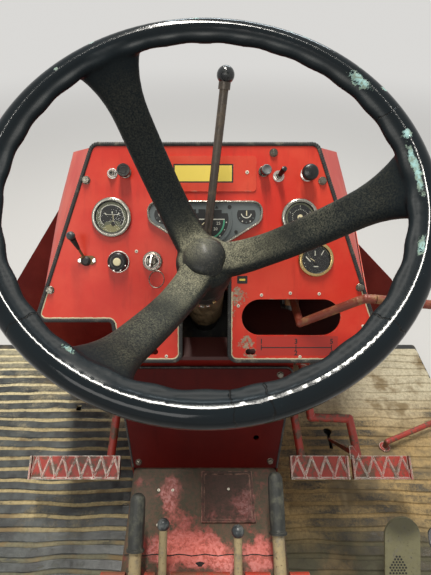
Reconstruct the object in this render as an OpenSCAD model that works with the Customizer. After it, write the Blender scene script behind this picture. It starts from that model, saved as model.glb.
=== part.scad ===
// Driving platform of a vintage tractor with its steering wheel, instrument console, pedals and levers.
// Millimetres. X runs to the driver's right, Y forward, Z up, and Z = 0 is the underside of the frame.

/* [Platform] */
// Width of the floor in front of the wheel arches
floor_w = 1200; // [1120:20:1300]
// Width of the floor between the wheel arches
arch_w = 880; // [820:20:940]
// Length of the floor
floor_l = 740; // [720:10:820]
// Thickness of the floor plate
plate_t = 6; // [4:1:8]
// Height of the channels under the floor
rail_h = 60; // [50:5:80]
// Distance between the centres of the long channels
rail_gap = 720; // [680:10:760]
// Thickness of a channel's web and flanges
rail_t = 5; // [4:1:6]
// Thickness of the rubber mats between their ribs
mat_t = 4; // [3:0.5:6]
// Height of a mat's ribs
rib_h = 3; // [2:0.5:4]
// Pitch of a mat's ribs
rib_pitch = 25; // [20:1:30]
// Radius of the four rubber mounts' bolt holes
mount_hole_r = 8.5; // [6.5:0.5:10.5]
// Distance between the mount holes across the platform
mount_x = 600; // [560:10:640]
// Distance of the mount holes from the frame's ends
mount_inset = 100; // [80:5:120]

/* [Tunnel and rear console] */
// Width of the gearbox tunnel
tunnel_w = 256; // [240:4:272]
// Height of the tunnel above the floor plate
tunnel_h = 184; // [170:2:196]
// Thickness of the housings' sheet
sheet_t = 3; // [2.5:0.5:4]
// Width of the rear console
rear_w = 300; // [288:4:320]
// Depth of the rear console
rear_l = 106; // [100:2:120]
// Height of the rear console above the tunnel
rear_rise = 30; // [26:1:36]
// Radius of the hand levers' shaft
lever_shaft_r = 8; // [7:0.5:9]

/* [Steering] */
// Outer radius of the steering wheel
wheel_r = 220; // [210:5:230]
// Radius of the rim's outer bulk, which the palm holds
rim_r = 12.5; // [11.5:0.5:13.5]
// Radius of the thinner bead inside it, which the fingers hold
bead_r = 5.5; // [5:0.5:6.5]
// Width of the rim's section with its bead
rim_wide = 31; // [29:0.5:33]
// Depth of the wheel's dish
dish = 165; // [150:5:175]
// Width of a spoke
spoke_w = 37; // [32:1:40]
// Thickness of a spoke
spoke_t = 18; // [15:1:20]
// Radius of the hollow between two spokes at the hub
hub_fillet = 95; // [80:5:110]
// Radius of the hollows where a spoke meets the rim
rim_fillet = 34; // [28:1:38]
// Lean of the column from upright
column_lean = 28.6; // [27:0.2:30]
// Radius of the steering shaft
shaft_r = 11; // [10:0.5:12]
// Radius of the shaft's lower end, which goes into the steering box's joint
spline_r = 9; // [8:0.5:9.5]
// Length of the shaft's lower end
spline_l = 40; // [30:1:42]
// Outer radius of the column tube
tube_r = 24; // [23:0.5:25]
// Outer radius of the column's sleeve
sleeve_r = 29.5; // [29:0.5:31]

/* [Console] */
// Half of the instrument panel's width at its top
panel_top = 170; // [160:2:180]
// Half of the instrument panel's width at its wings
panel_wing = 263; // [255:2:270]
// Lean of the instrument panel from flat
panel_tilt = 55; // [54:0.5:56]
// Thickness of the instrument panel
panel_t = 3; // [2:0.5:4]
// Half of the width of the column's notch
notch_w = 39; // [36:1:42]
// Length of the gear lever's slot
slot_l = 155; // [145:1:165]
// Height of the gear lever's slot
slot_h = 57; // [52:1:62]
// Radius of the left round gauge
gauge_left_r = 30; // [27:0.5:32]
// Radius of the upper right gauge
gauge_top_r = 28; // [26:0.5:30]
// Radius of the lower right gauge
gauge_low_r = 27; // [25:0.5:29]

/* [Pedals and levers] */
// Radius of the pedals' shaft
pedal_shaft_r = 12.5; // [11:0.5:14]
// Radius of a pedal's arm
arm_r = 8; // [7:0.5:9]
// Width of the clutch pedal's pad
clutch_pad = 174; // [160:2:180]
// Width of a brake pedal's pad
brake_pad = 112; // [100:2:114]
// Depth of a pad
pad_l = 42; // [36:1:46]
// Length of the foot throttle's plate
foot_l = 160; // [150:2:170]
// Width of the foot throttle's plate
foot_w = 61; // [56:1:66]
// Radius of the gear lever's tube
gear_r = 6.5; // [6:0.5:7.5]
// Radius of the red bar across the corner of the right footwell
side_bar_r = 6; // [5:0.5:7]
// Radius of the upright hand lever's rod
rod_r = 6; // [5:0.5:6.5]
// Radius of the upright hand lever's ball
ball_r = 11.5; // [10:0.5:13]

/* [Hidden] */
$fn = 48;

run = 0.05;          // running clearance round a shaft
gap = 0.3;           // clearance between pieces that only stand close
eps = 1;             // how far a cut runs past a face
knuckle = 0.3;       // how far the ball at a bend stands out of its bar
lap = 0.5;           // thickness of the slices that a block of the housing is stretched between

half_w = floor_w / 2;
half_arch = arch_w / 2;
half_l = floor_l / 2;
mount_y = floor_l - 2 * mount_inset;
arch_y = -130;       // where the wheel arches end
arch_run = 100;      // length of the slanted edge in front of an arch
top_z = rail_h + plate_t;
tunnel_z = top_z + tunnel_h;
half_tunnel = tunnel_w / 2;
half_foot = half_tunnel + 2;
rail_w = 40;
rail_x = rail_gap / 2;
hole_w = tunnel_w - 36;

rear_y = -half_l + 4;
rear_front = rear_y + rear_l;
rear_z = tunnel_z + rear_rise;
toe_y = half_l - 19;
toe_t = 4;
toe_half = 465;
keyhole_at = [290, 90];      // middle of the keyhole's round end
keyhole_r = 10;
keyhole = [8, 44];           // width and length of its slot
small_hole_at = [-319, 148];
small_hole = [12, 14];

panel_at = [0, 103.4, tunnel_z + 397.8];      // where the panel's middle line crosses its gauges' row
panel_top_s = 107;
wing_s = -161;
base_s = -226;
block_x = 134;
roof_z = panel_at.z + base_s * sin(panel_tilt) - (panel_t + lap) * cos(panel_tilt);
wing_z = panel_at.z + wing_s * sin(panel_tilt) - panel_t * cos(panel_tilt);
lower_bottom = [-92, tunnel_z];
lip_h = 37;          // height of the housing's step over the lower panel
lower_top = [-7, roof_z - lip_h];
lower_tilt = atan2(lower_top.y - lower_bottom.y, lower_top.x - lower_bottom.x);
lower_l = norm(lower_top - lower_bottom);
lower_top_half = 148;
lip_y = lower_top.x + 4;

wheel_at = [0, -100, tunnel_z + 550];
hub_top = -dish + 10;
hub_bottom = -dish - 61;
hub_r = 36;
column_top = hub_bottom - 6;
column_end = -500;
shaft_end = -545;

pedal_at = [100, tunnel_z + 80];
pad_z = tunnel_z - 68;
pad_tilt = 30;
lever_at = [rear_y + 56, tunnel_z + 5];
hand_local = [0, 44, column_top - 10];
hand_at = wheel_at + [0, hand_local.y * cos(column_lean) - hand_local.z * sin(column_lean),
    hand_local.y * sin(column_lean) + hand_local.z * cos(column_lean)];
hand_ball = [27, 136, tunnel_z + 590];
hand_pin_r = 4;
hand_hub = 15;       // width of the upright lever's hub between its ears
cowl_x = panel_wing + 56;
cowl_top_x = panel_top + 91;
cowl_top_z = panel_at.z - 3;
trim_w = 4;
gauge_left_at = [-143, -2];
gauge_top_at = [145, -2];
gauge_low_at = [171, -66];
gear_at = [149, 84, panel_at.z - 145];
gear_hub = 32;
gear_pin_r = 5;
foot_at = [341, rear_front + 2, top_z + 14];
foot_tilt = 49;
side_bar_ends = [[411, 48], [556, 106]];

function unit(v) = v / norm(v);

// Place [y, z] of a point s up the instrument panel and n out of it
function panel_yz(s, n) =
    [panel_at.y + s * cos(panel_tilt) - n * sin(panel_tilt), panel_at.z + s * sin(panel_tilt) + n * cos(panel_tilt)];

// Height of the inside of the housing's floor at y
function cowl_floor(y) =
    let (rear = panel_yz(base_s + sheet_t, eps - 0.5), front = [toe_y + toe_t - sheet_t, roof_z + sheet_t])
    rear.y + (front.y - rear.y) * (y - rear.x) / (front.x - rear.x);

// Points of the arc that rounds corner b between its neighbours a and c
function corner(a, b, c, r, steps = 6) =
    r == 0 ? [b] :
    let (u = unit(a - b), w = unit(c - b), half = acos(u * w) / 2,
        o = b + unit(u + w) * r / sin(half),
        p = b + u * r / tan(half) - o,
        q = b + w * r / tan(half) - o,
        start = atan2(p.y, p.x),
        raw = atan2(q.y, q.x) - start,
        turn = raw > 180 ? raw - 360 : raw < -180 ? raw + 360 : raw)
    [for (i = [0:steps]) o + r * [cos(start + turn * i / steps), sin(start + turn * i / steps)]];

// A closed outline of [x, y, corner radius] rows with its corners rounded
function rounded(rows) =
    let (n = len(rows), p = [for (row = rows) [row[0], row[1]]])
    [for (i = [0:n - 1]) each corner(p[(i + n - 1) % n], p[i], p[(i + 1) % n], rows[i][2])];

// A round bar from a to b
module bar(a, b, r, r2 = -1) {
    d = b - a;
    translate(a)
        rotate([0, acos(d.z / norm(d)), atan2(d.y, d.x)])
            cylinder(h = norm(d), r1 = r, r2 = r2 < 0 ? r : r2);
}

// A cylinder along X from x1 to x2 through [y, z]
module cross_bar(x1, x2, at, r) {
    translate([x1, at.x, at.y])
        rotate([0, 90, 0])
            cylinder(h = x2 - x1, r = r);
}

// Extrudes an outline of [y, z] points along X from x1 to x2
module across(x1, x2) {
    translate([x1, 0, 0])
        rotate([90, 0, 90])
            linear_extrude(x2 - x1)
                children();
}

// Extrudes an outline of [x, z] points along Y from y1 to y2
module along(y1, y2) {
    translate([0, y2, 0])
        rotate([90, 0, 0])
            linear_extrude(y2 - y1)
                children();
}

// The instrument panel's frame: x across, y up the panel, z out towards the driver
module on_panel() {
    translate(panel_at)
        rotate([panel_tilt, 0, 0])
            children();
}

// The lower panel's frame, from the middle of its bottom edge
module on_lower() {
    translate([0, lower_bottom.x, lower_bottom.y])
        rotate([lower_tilt, 0, 0])
            children();
}

// The steering column's frame: the rim's centre, z up the column
module on_column() {
    translate(wheel_at)
        rotate([column_lean, 0, 0])
            children();
}

// A channel of length l along Y with its open side towards +X
module channel(l) {
    along(-l / 2, l / 2)
        difference() {
            square([rail_w, rail_h]);
            translate([rail_t, rail_t])
                square([rail_w, rail_h - 2 * rail_t]);
        }
}

module underframe() {
    inner = rail_gap - rail_w;
    color("dimgray")
        difference() {
            union() {
                for (side = [0, 1])
                    mirror([side, 0, 0])
                        translate([rail_x - rail_w / 2, 0, 0])
                            channel(floor_l);
                for (side = [0, 1])
                    mirror([side, 0, 0])
                        translate([rail_x + rail_w / 2 - rail_w + rail_t, half_l - 250, 0])
                            rotate([0, 0, 90])
                                channel_arm(half_w - rail_x + rail_w / 2 - rail_t - 8);
                for (x = [-1, 1], y = [-1, 1])
                    translate([x * mount_x / 2, y * mount_y / 2, rail_t])
                        cube([inner - mount_x + 2, 70, 2 * rail_t], center = true);
            }
            for (x = [-1, 1], y = [-1, 1])
                translate([x * mount_x / 2, y * mount_y / 2, -eps])
                    cylinder(h = 2 * rail_t + 2 * eps, r = mount_hole_r);
        }
}

// The channels that cross between the long ones at the frame's two ends
module cross_members() {
    web = 8;
    color("dimgray")
        difference() {
            for (end = [[-half_l, 0], [half_l, 1]])
                translate([0, end.x, 0])
                    mirror([0, end.y, 0])
                        rotate([0, 0, 90])
                            channel(rail_gap - rail_w);
            // way for the steering box's shaft past the front channel
            translate([-notch_w, half_l - rail_w - eps, -eps])
                cube([2 * notch_w, rail_w - web + eps, rail_h + 2 * eps]);
        }
}

// A channel that carries the floor's side from a long channel's web outwards
module channel_arm(l) {
    rotate([90, 0, 0])
        linear_extrude(l)
            difference() {
                square([rail_w, rail_h]);
                translate([rail_t, rail_t])
                    square([rail_w, rail_h - 2 * rail_t]);
            }
}

// Outline of the floor, narrower between the wheel arches
module floor_outline(inset = 0) {
    w = half_w - inset;
    a = half_arch - inset;
    polygon(rounded([
        [-a, -half_l + inset, 0], [a, -half_l + inset, 0], [a, arch_y, 30], [w, arch_y + arch_run, 30],
        [w, half_l - inset, 8], [-w, half_l - inset, 8], [-w, arch_y + arch_run, 30], [-a, arch_y, 30]]));
}

module floor_holes() {
    translate([-hole_w / 2, rear_y + sheet_t])
        square([hole_w, toe_y - 12 - rear_y - sheet_t]);
    // keyhole for the parking catch, and the small hole in the left footwell
    translate(keyhole_at - [keyhole.x / 2, keyhole.y])
        square(keyhole);
    translate(keyhole_at)
        circle(keyhole_r);
    translate(small_hole_at)
        square(small_hole);
}

module floor_plate() {
    color("saddlebrown")
        translate([0, 0, rail_h])
            linear_extrude(plate_t)
                difference() {
                    floor_outline();
                    floor_holes();
                }
}

// A ribbed rubber sheet over the whole floor, with a rib every rib_pitch
module ribbed_sheet() {
    ribs = floor((toe_y + half_l - 16) / rib_pitch);
    start = toe_y - gap - ribs * rib_pitch;
    teeth = [for (i = [0:ribs - 1])
        let (y = start + i * rib_pitch)
        each [[y, top_z + mat_t], [y + 2, top_z + mat_t + rib_h],
            [y + rib_pitch - 8, top_z + mat_t + rib_h], [y + rib_pitch - 6, top_z + mat_t]]];
    across(-half_w, half_w)
        polygon(concat([[start - 10, top_z]], [[start - 10, top_z + mat_t]], teeth,
            [[toe_y - gap, top_z + mat_t]], [[toe_y - gap, top_z]]));
}

module mat(side) {
    color([0.2, 0.19, 0.17])
        intersection() {
            ribbed_sheet();
            translate([0, 0, top_z - eps])
                linear_extrude(mat_t + rib_h + 2 * eps)
                    difference() {
                        floor_outline(5);
                        floor_holes();
                        translate([side > 0 ? -half_w : -half_foot - gap, -half_l])
                            square([half_w + half_foot + gap, floor_l]);
                        translate([-rear_w / 2 - gap, -half_l])
                            square([rear_w + 2 * gap, rear_front + half_l + gap]);
                        translate([foot_at.x - foot_w / 2 - 8, foot_at.y - 22])
                            square([foot_w + 16, 46]);
                    }
        }
}

module toe_board() {
    color("firebrick")
        along(toe_y, toe_y + toe_t)
            polygon(rounded([
                [-toe_half, top_z, 0], [toe_half, top_z, 0], [toe_half, top_z + 250, 20],
                [cowl_x, roof_z, 0], [-block_x - 20, roof_z, 0], [-block_x - 20, wing_z, 0],
                [-cowl_x, wing_z, 0], [-toe_half, top_z + 250, 20]]));
}

module tunnel_cover() {
    r = 14;
    length = lower_bottom.x - rear_front;
    color("firebrick")
        along(rear_front, rear_front + length)
            difference() {
                polygon(rounded([[-half_tunnel, top_z, 0], [half_tunnel, top_z, 0],
                    [half_tunnel, tunnel_z, r], [-half_tunnel, tunnel_z, r]]));
                polygon(rounded([[-half_tunnel + sheet_t, top_z - eps, 0], [half_tunnel - sheet_t, top_z - eps, 0],
                    [half_tunnel - sheet_t, tunnel_z - sheet_t, r - sheet_t],
                    [-half_tunnel + sheet_t, tunnel_z - sheet_t, r - sheet_t]]));
            }
}

// Inspection lid on the tunnel with a low rim
module tunnel_lid() {
    lid = [88, 85];
    at = [38, -143];
    color("darkred")
        translate([at.x, at.y, tunnel_z])
            difference() {
                linear_extrude(4)
                    translate(-lid / 2)
                        square(lid);
                translate([0, 0, 2.5])
                    linear_extrude(4)
                        translate(-lid / 2 + [5, 5])
                            square(lid - [10, 10]);
            }
}

levers = [
    // x, reach in front of the console, height over the tunnel, radius, length of the grip or 0 for a ball
    [-101, 86, 80, 9, 78],
    [-61, 47, 65, 6, 0],
    [47, 34, 75, 6, 0],
    [108, 114, 90, 9, 86]];

module rear_console() {
    slot = 10;
    color("firebrick")
        difference() {
            across(-rear_w / 2, rear_w / 2)
                polygon(rounded([[rear_y, top_z, 0], [rear_front, top_z, 0],
                    [rear_front, rear_z, 10], [rear_y, rear_z, 20]]));
            across(-rear_w / 2 + sheet_t, rear_w / 2 - sheet_t)
                polygon(rounded([[rear_y + sheet_t, top_z - eps, 0], [rear_front - sheet_t, top_z - eps, 0],
                    [rear_front - sheet_t, rear_z - sheet_t, 7], [rear_y + sheet_t, rear_z - sheet_t, 17]]));
            // the gearbox tunnel runs through the console's front
            translate([-hole_w / 2, rear_front - sheet_t - eps, top_z - eps])
                cube([hole_w, sheet_t + 2 * eps, tunnel_h - 20]);
            for (row = levers)
                translate([row[0] - row[3] - slot / 2, rear_y + 44, tunnel_z + 3])
                    cube([2 * row[3] + slot, rear_l, rear_rise + eps]);
            cross_bar(-rear_w / 2 - eps, rear_w / 2 + eps, lever_at, lever_shaft_r + run);
        }
}

module lever_shaft() {
    color("gray")
        union() {
            cross_bar(-rear_w / 2 - 9, rear_w / 2 + 9, lever_at, lever_shaft_r);
            for (side = [0, 1])
                mirror([side, 0, 0])
                    cross_bar(rear_w / 2 + gap, rear_w / 2 + 5, lever_at, lever_shaft_r + 4);
        }
}

// A hand lever on the rear console's shaft, lying forwards over the tunnel
module floor_lever(row) {
    base = [row[0], lever_at.x, lever_at.y];
    tip = [row[0], rear_front + row[1], tunnel_z + row[2]];
    way = unit(tip - base);
    grip = tip - way * row[4];
    seat = 4;            // how far the tube reaches into its grip or ball
    color("tan")
        difference() {
            union() {
                cross_bar(row[0] - 11, row[0] + 11, lever_at, lever_shaft_r + 7);
                bar(base + way * (lever_shaft_r + 2), row[4] > 0 ? grip + way * seat : tip - way * seat, row[3]);
            }
            cross_bar(row[0] - 12, row[0] + 12, lever_at, lever_shaft_r + run);
        }
    color([0.12, 0.12, 0.12])
        if (row[4] > 0) {
            bar(grip, tip - way * row[3], row[3] + 2, row[3] + 1);
            translate(tip - way * row[3])
                sphere(r = row[3] + 1 + knuckle);
        } else {
            translate(tip)
                sphere(r = 9);
        }
}

// Slope of the pedestal's sides and the front of the housings
module pedestal_front(inset = 0) {
    w = half_foot - inset;
    polygon([[-w, top_z - 2 * inset], [w, top_z - 2 * inset], [w, tunnel_z], [lower_top_half - inset, roof_z - lip_h],
        [lower_top_half - inset, roof_z - inset], [-lower_top_half + inset, roof_z - inset],
        [-lower_top_half + inset, roof_z - lip_h], [-w, tunnel_z]]);
}

module pedestal() {
    y0 = lower_bottom.x;
    behind = 50;         // how far the hollow's cut runs on behind the lower panel
    sill = 24;           // height of the wall under the lower panel's lower edge
    brow = 8;            // height of the wall over its upper edge
    color("firebrick")
        difference() {
            intersection() {
                along(y0, toe_y)
                    pedestal_front();
                across(-half_w, half_w)
                    polygon([[y0, top_z], lower_bottom, lower_top, [lip_y, lower_top.y], [lip_y, roof_z],
                        [toe_y, roof_z], [toe_y, top_z]]);
            }
            intersection() {
                along(y0 - behind - eps, toe_y + eps)
                    pedestal_front(sheet_t);
                across(-half_w, half_w)
                    polygon([[y0 + sheet_t, top_z - 3 * sheet_t], [y0 + sheet_t, tunnel_z - sill],
                        [y0 - behind, tunnel_z - sill], [lower_top.x - behind, lower_top.y - brow],
                        [lip_y + sheet_t, lower_top.y - brow], [lip_y + sheet_t, roof_z],
                        [toe_y + eps, roof_z], [toe_y + eps, top_z - 3 * sheet_t]]);
            }
            // the gearbox tunnel runs on under the pedestal
            translate([-hole_w / 2, y0 - eps, top_z - eps])
                cube([hole_w, sheet_t + 2 * eps, tunnel_h - 40]);
            column_way();
            cross_bar(-half_w, half_w, pedal_at, pedal_shaft_r + run);
        }
}

// The way for the column through the pedestal's roof and the housing's floor
module column_way() {
    translate([-46, 22, roof_z - 5])
        cube([92, 128, 10]);
}

// Hangers under the pedestal's roof and the plate that holds the column tube
module column_bracket() {
    at = 430;            // place of the collar down the column
    hanger_x = 50;
    hanger_t = 8;
    hanger_y = [70, 150];
    taper = [15, -10];
    drop = 75;
    collar = [72, 24];   // size of the collar along and up the column
    low = roof_z - drop;
    color("dimgray")
        difference() {
            union() {
                for (side = [0, 1])
                    mirror([side, 0, 0])
                        across(hanger_x, hanger_x + hanger_t)
                            polygon([[hanger_y.x, roof_z - sheet_t], [hanger_y.y, roof_z - sheet_t],
                                [hanger_y.y + taper.y, low], [hanger_y.x + taper.x, low]]);
                on_column()
                    translate([-hanger_x - hanger_t / 2, -collar.x / 2, -at - collar.y / 2])
                        cube([2 * hanger_x + hanger_t, collar.x, collar.y]);
            }
            on_column()
                translate([0, 0, -at - drop])
                    cylinder(h = 2 * drop, r = tube_r + run);
        }
}

// Outline of the lower panel in its own frame
module lower_outline(grow = 0) {
    b = half_tunnel - 1 + grow;
    t = lower_top_half + grow;
    polygon(rounded([[-b, -grow, 0], [b, -grow, 0], [t, lower_l + grow, 12], [-t, lower_l + grow, 12]]));
}

module lower_panel() {
    grommet_at = [89, 62];
    color("darkred")
        on_lower()
            translate([0, 0, gap / 3])
                linear_extrude(sheet_t)
                    difference() {
                        lower_outline(-2);
                        translate(grommet_at)
                            circle(5);
                    }
}

module lower_trim() {
    color([0.1, 0.1, 0.1])
        on_lower()
            translate([0, 0, gap / 3])
                linear_extrude(sheet_t + 2)
                    difference() {
                        lower_outline(2);
                        lower_outline(-2 + gap / 3);
                        translate([-half_w, -10])
                            square([floor_w, 14]);
                    }
}

// Outline of the instrument panel: wings, lower block and the notch for the column
function panel_side(s) = panel_top + (panel_top_s - s) * (panel_wing - panel_top) / (panel_top_s - wing_s);

function panel_rows() = [
    [-panel_side(panel_top_s), panel_top_s, 12], [-panel_side(wing_s), wing_s, 10],
    [-block_x - 10, wing_s, 8], [-block_x, base_s, 12], [-notch_w, base_s, 12],
    [-notch_w, -62, 18], [notch_w, -62, 18], [notch_w, base_s, 12],
    [panel_side(wing_s) + 6, base_s, 26], [panel_side(wing_s), wing_s, 30],
    [panel_side(panel_top_s), panel_top_s, 12]];

module dash_panel() {
    slot_at = [135, -157];
    color("red")
        on_panel()
            translate([0, 0, -panel_t])
                difference() {
                    linear_extrude(panel_t)
                        polygon(rounded(panel_rows()));
                    for (at = [[gauge_left_at, gauge_left_r], [gauge_top_at, gauge_top_r], [gauge_low_at, gauge_low_r]])
                        translate([at[0].x, at[0].y, -eps])
                            cylinder(h = panel_t + 2 * eps, r = at[1] - 4);
                    translate([slot_at.x, slot_at.y, -eps])
                        linear_extrude(panel_t + 2 * eps)
                            union() {
                                square([slot_l - slot_h, slot_h], center = true);
                                for (side = [-1, 1])
                                    translate([side * (slot_l - slot_h) / 2, 0])
                                        circle(slot_h / 2);
                            }
                    for (x = [-82, 72])
                        translate([x, -212, -eps])
                            linear_extrude(panel_t + 2 * eps)
                                for (side = [-1, 1])
                                    translate([side * 3, 0])
                                        circle(5);
                }
}

module dash_trim() {
    color([0.1, 0.1, 0.1])
        on_panel() {
            translate([0, 0, -panel_t])
                linear_extrude(panel_t + 2)
                    difference() {
                        offset(delta = trim_w)
                            polygon(rounded(panel_rows()));
                        polygon(rounded(panel_rows()));
                        translate([-notch_w - eps, base_s - 20])
                            square([2 * notch_w + 2 * eps, 20 - trim_w]);
                    }
            linear_extrude(2)
                difference() {
                    polygon(rounded(panel_rows()));
                    offset(delta = -trim_w / 2)
                        polygon(rounded(panel_rows()));
                }
        }
}

// One block of the housing between an outline behind the panel and one at the toe board
module cowl_block(rear_rows, front_rows, rear_n, front_y) {
    hull() {
        on_panel()
            translate([0, 0, rear_n - lap])
                linear_extrude(lap)
                    polygon([for (row = rear_rows) [row[0], row[1]]]);
        along(front_y - lap, front_y)
            polygon([for (row = front_rows) [row[0], row[1]]]);
    }
}

// Sheet housing behind the instrument panel, wider towards the toe board
module dash_housing() {
    t = sheet_t;
    top = panel_side(panel_top_s) - 2;
    wing = panel_side(wing_s) - 2;
    front = toe_y + toe_t;
    color("firebrick")
        difference() {
            union() {
                cowl_block([[-wing, wing_s], [wing, wing_s], [top, panel_top_s - 2], [-top, panel_top_s - 2]],
                    [[-cowl_x, wing_z], [cowl_x, wing_z], [cowl_top_x, cowl_top_z], [-cowl_top_x, cowl_top_z]],
                    -panel_t, front);
                cowl_block([[-block_x + 2, base_s], [wing + 2, base_s], [wing, wing_s + 10], [-block_x, wing_s + 10]],
                    [[-block_x - 20, roof_z], [cowl_x, roof_z], [cowl_x, wing_z + 5], [-block_x - 20, wing_z + 5]],
                    -panel_t, front);
            }
            cowl_block([[-wing + t, wing_s + t], [wing - t, wing_s + t], [top - t, panel_top_s - 2 - t],
                    [-top + t, panel_top_s - 2 - t]],
                [[-cowl_x + t, wing_z + t], [cowl_x - t, wing_z + t], [cowl_top_x - t, cowl_top_z - t],
                    [-cowl_top_x + t, cowl_top_z - t]],
                eps, front - t);
            cowl_block([[-block_x + 2 + t, base_s + t], [wing + 2 - t, base_s + t], [wing - t, wing_s + 20],
                    [-block_x + t, wing_s + 20]],
                [[-block_x - 20 + t, roof_z + t], [cowl_x - t, roof_z + t], [cowl_x - t, wing_z + 15],
                    [-block_x - 20 + t, wing_z + 15]],
                eps, front - t);
            column_way();
        }
}

module cover_plate() {
    size = [158, 53];
    color("red")
        on_panel()
            difference() {
                linear_extrude(2)
                    translate([-80, 37])
                        polygon(rounded([[0, 0, 5], [size.x, 0, 5], [size.x, size.y, 5], [0, size.y, 5]]));
                translate([0, 0, 1.4])
                    linear_extrude(1)
                        translate([-48, 50])
                            square([91, 28]);
            }
}

function cluster_rows() = [[-27, -46, 12], [27, -46, 12], [84, -9, 12], [90, 23, 12], [-90, 23, 12], [-84, -9, 12]];

// Instrument cluster: an inverted triangle with a raised bezel round its sunk dials
module cluster() {
    color("silver")
        on_panel()
            difference() {
                linear_extrude(8)
                    polygon(rounded(cluster_rows()));
                translate([0, 0, 4])
                    linear_extrude(9)
                        offset(delta = -5)
                            polygon(rounded(cluster_rows()));
            }
}

// A round gauge: a can through the panel, a rolled bezel and a sunk dial
module gauge(at, r, can = 46) {
    color("silver")
        on_panel()
            translate([at.x, at.y, 0])
                rotate_extrude()
                    difference() {
                        union() {
                            translate([0, -can])
                                square([r - 4 - gap / 3, can + 1]);
                            square([r - 2, 7]);
                            translate([r - 3, 3.5])
                                circle(3.5);
                        }
                        translate([0, 4])
                            square([r - 5, 10]);
                        translate([-2 * r, -2 * r])
                            square([2 * r, 4 * r]);
                    }
}

// A knob or switch standing on the panel: [x, s, foot radius, foot height, knob radius, knob height]
switches = [
    [-141, 64, 8, 4, 5, 9],
    [-121, 66, 9, 5, 10, 20],
    [91, 68, 8, 5, 9.5, 18],
    [157, 63, 15, 5, 12, 24],
    [-134, -70, 15.5, 7, 10, 13]];

// The toggles: [x, s] of the nut, then across, up and out to the stick's end
toggles = [
    [113, 60, -14, 12, 26],
    [-183, -69, -14, 34, 36]];

module dash_switches() {
    nut = [8, 6];        // radius and height
    stick_r = [3, 4.5];  // radius at the nut and at the end
    color([0.13, 0.13, 0.13])
        on_panel() {
            for (row = switches)
                translate([row[0], row[1], 0])
                    union() {
                        cylinder(h = row[3], r = row[2]);
                        translate([0, 0, row[3]])
                            cylinder(h = row[5] - row[3], r1 = row[4] * 0.85, r2 = row[4]);
                    }
            for (row = toggles)
                translate([row[0], row[1], 0])
                    union() {
                        cylinder(h = nut.y, r = nut.x);
                        bar([0, 0, nut.y - 2], [row[2], row[3], row[4]], stick_r.x, stick_r.y);
                        translate([row[2], row[3], row[4]])
                            sphere(r = stick_r.y + knuckle);
                    }
        }
}

module ignition_lock() {
    at = [-81, -69];
    flange = [15.5, 5];  // radius and height
    barrel = [11, 4];
    face = flange.y + barrel.y;
    key_t = 2.4;
    neck = [18, 4];      // the key's neck and bow: length up the panel and height over it
    bow = [22, 15];
    color("silver")
        on_panel()
            translate([at.x, at.y, 0])
                union() {
                    cylinder(h = flange.y, r = flange.x);
                    translate([0, 0, flange.y])
                        cylinder(h = barrel.y, r = barrel.x);
                    translate([-key_t / 2, -neck.x / 2, face])
                        cube([key_t, neck.x, neck.y]);
                    translate([-key_t / 2, -bow.x / 2, face + neck.y])
                        cube([key_t, bow.x, bow.y]);
                }
}

module column_tube() {
    color("dimgray")
        on_column()
            difference() {
                translate([0, 0, column_end])
                    cylinder(h = column_top - column_end, r = tube_r);
                translate([0, 0, column_end + 30])
                    cylinder(h = column_top - column_end - 60, r = tube_r - 4);
                translate([0, 0, column_end - eps])
                    cylinder(h = column_top - column_end + 2 * eps, r = shaft_r + run);
            }
}

// Sleeve that runs down the column through the panel's notch
module column_sleeve() {
    color("tan")
        on_column()
            difference() {
                translate([0, 0, column_top - 132])
                    cylinder(h = 108, r = sleeve_r);
                translate([0, 0, column_top - 140])
                    cylinder(h = 130, r = tube_r + run);
            }
}

module steering_shaft() {
    color("gray")
        on_column()
            union() {
                translate([0, 0, shaft_end])
                    cylinder(h = spline_l + eps, r = spline_r);
                translate([0, 0, shaft_end + spline_l])
                    cylinder(h = hub_top - 2 - shaft_end - spline_l, r = shaft_r);
            }
}

// Height of the dish's middle line at radius r, and the points of its two faces
function dish_z(r) = -dish * (1 - pow(max(0, (r - hub_r + 8) / (wheel_r - rim_wide / 2 - hub_r + 8)), 1.4));

function dish_face(r, side) =
    let (d = 0.5, slope = (dish_z(r + d) - dish_z(r - d)) / (2 * d))
    [r, dish_z(r)] + side * spoke_t / 2 * unit([-slope, 1]);

// Plan of the spokes, with hollows between them at the hub and where they meet the rim
module spoke_plan() {
    inner = wheel_r - rim_wide;
    turn = 120;
    first_turn = 2.4;
    hollow = (spoke_w / 2 + hub_fillet) / sin(turn / 2);
    meet = hollow * cos(turn / 2);
    for (i = [0:2])
        rotate(first_turn + i * turn) {
            translate([0, -spoke_w / 2])
                square([inner + rim_r, spoke_w]);
            for (side = [0, 1])
                mirror([0, side])
                    translate([inner - rim_fillet, spoke_w / 2])
                        difference() {
                            square([rim_fillet + rim_r, rim_fillet]);
                            translate([0, rim_fillet])
                                circle(rim_fillet);
                        }
            rotate(turn / 2)
                difference() {
                    polygon([[0, 0], meet * [cos(turn / 2), -sin(turn / 2)], [hollow, 0],
                        meet * [cos(turn / 2), sin(turn / 2)]]);
                    translate([hollow, 0])
                        circle(hub_fillet);
                }
        }
}

// The rim: an outer bulk, a groove and a bead for the fingers
module rim() {
    bulk = wheel_r - rim_r;
    bead = wheel_r - rim_wide + bead_r;
    rotate_extrude()
        union() {
            translate([bulk, 0])
                circle(rim_r);
            translate([bead, 0])
                circle(bead_r);
            translate([bead, -bead_r * 0.8])
                square([bulk - bead, 2 * bead_r * 0.8]);
        }
}

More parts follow.
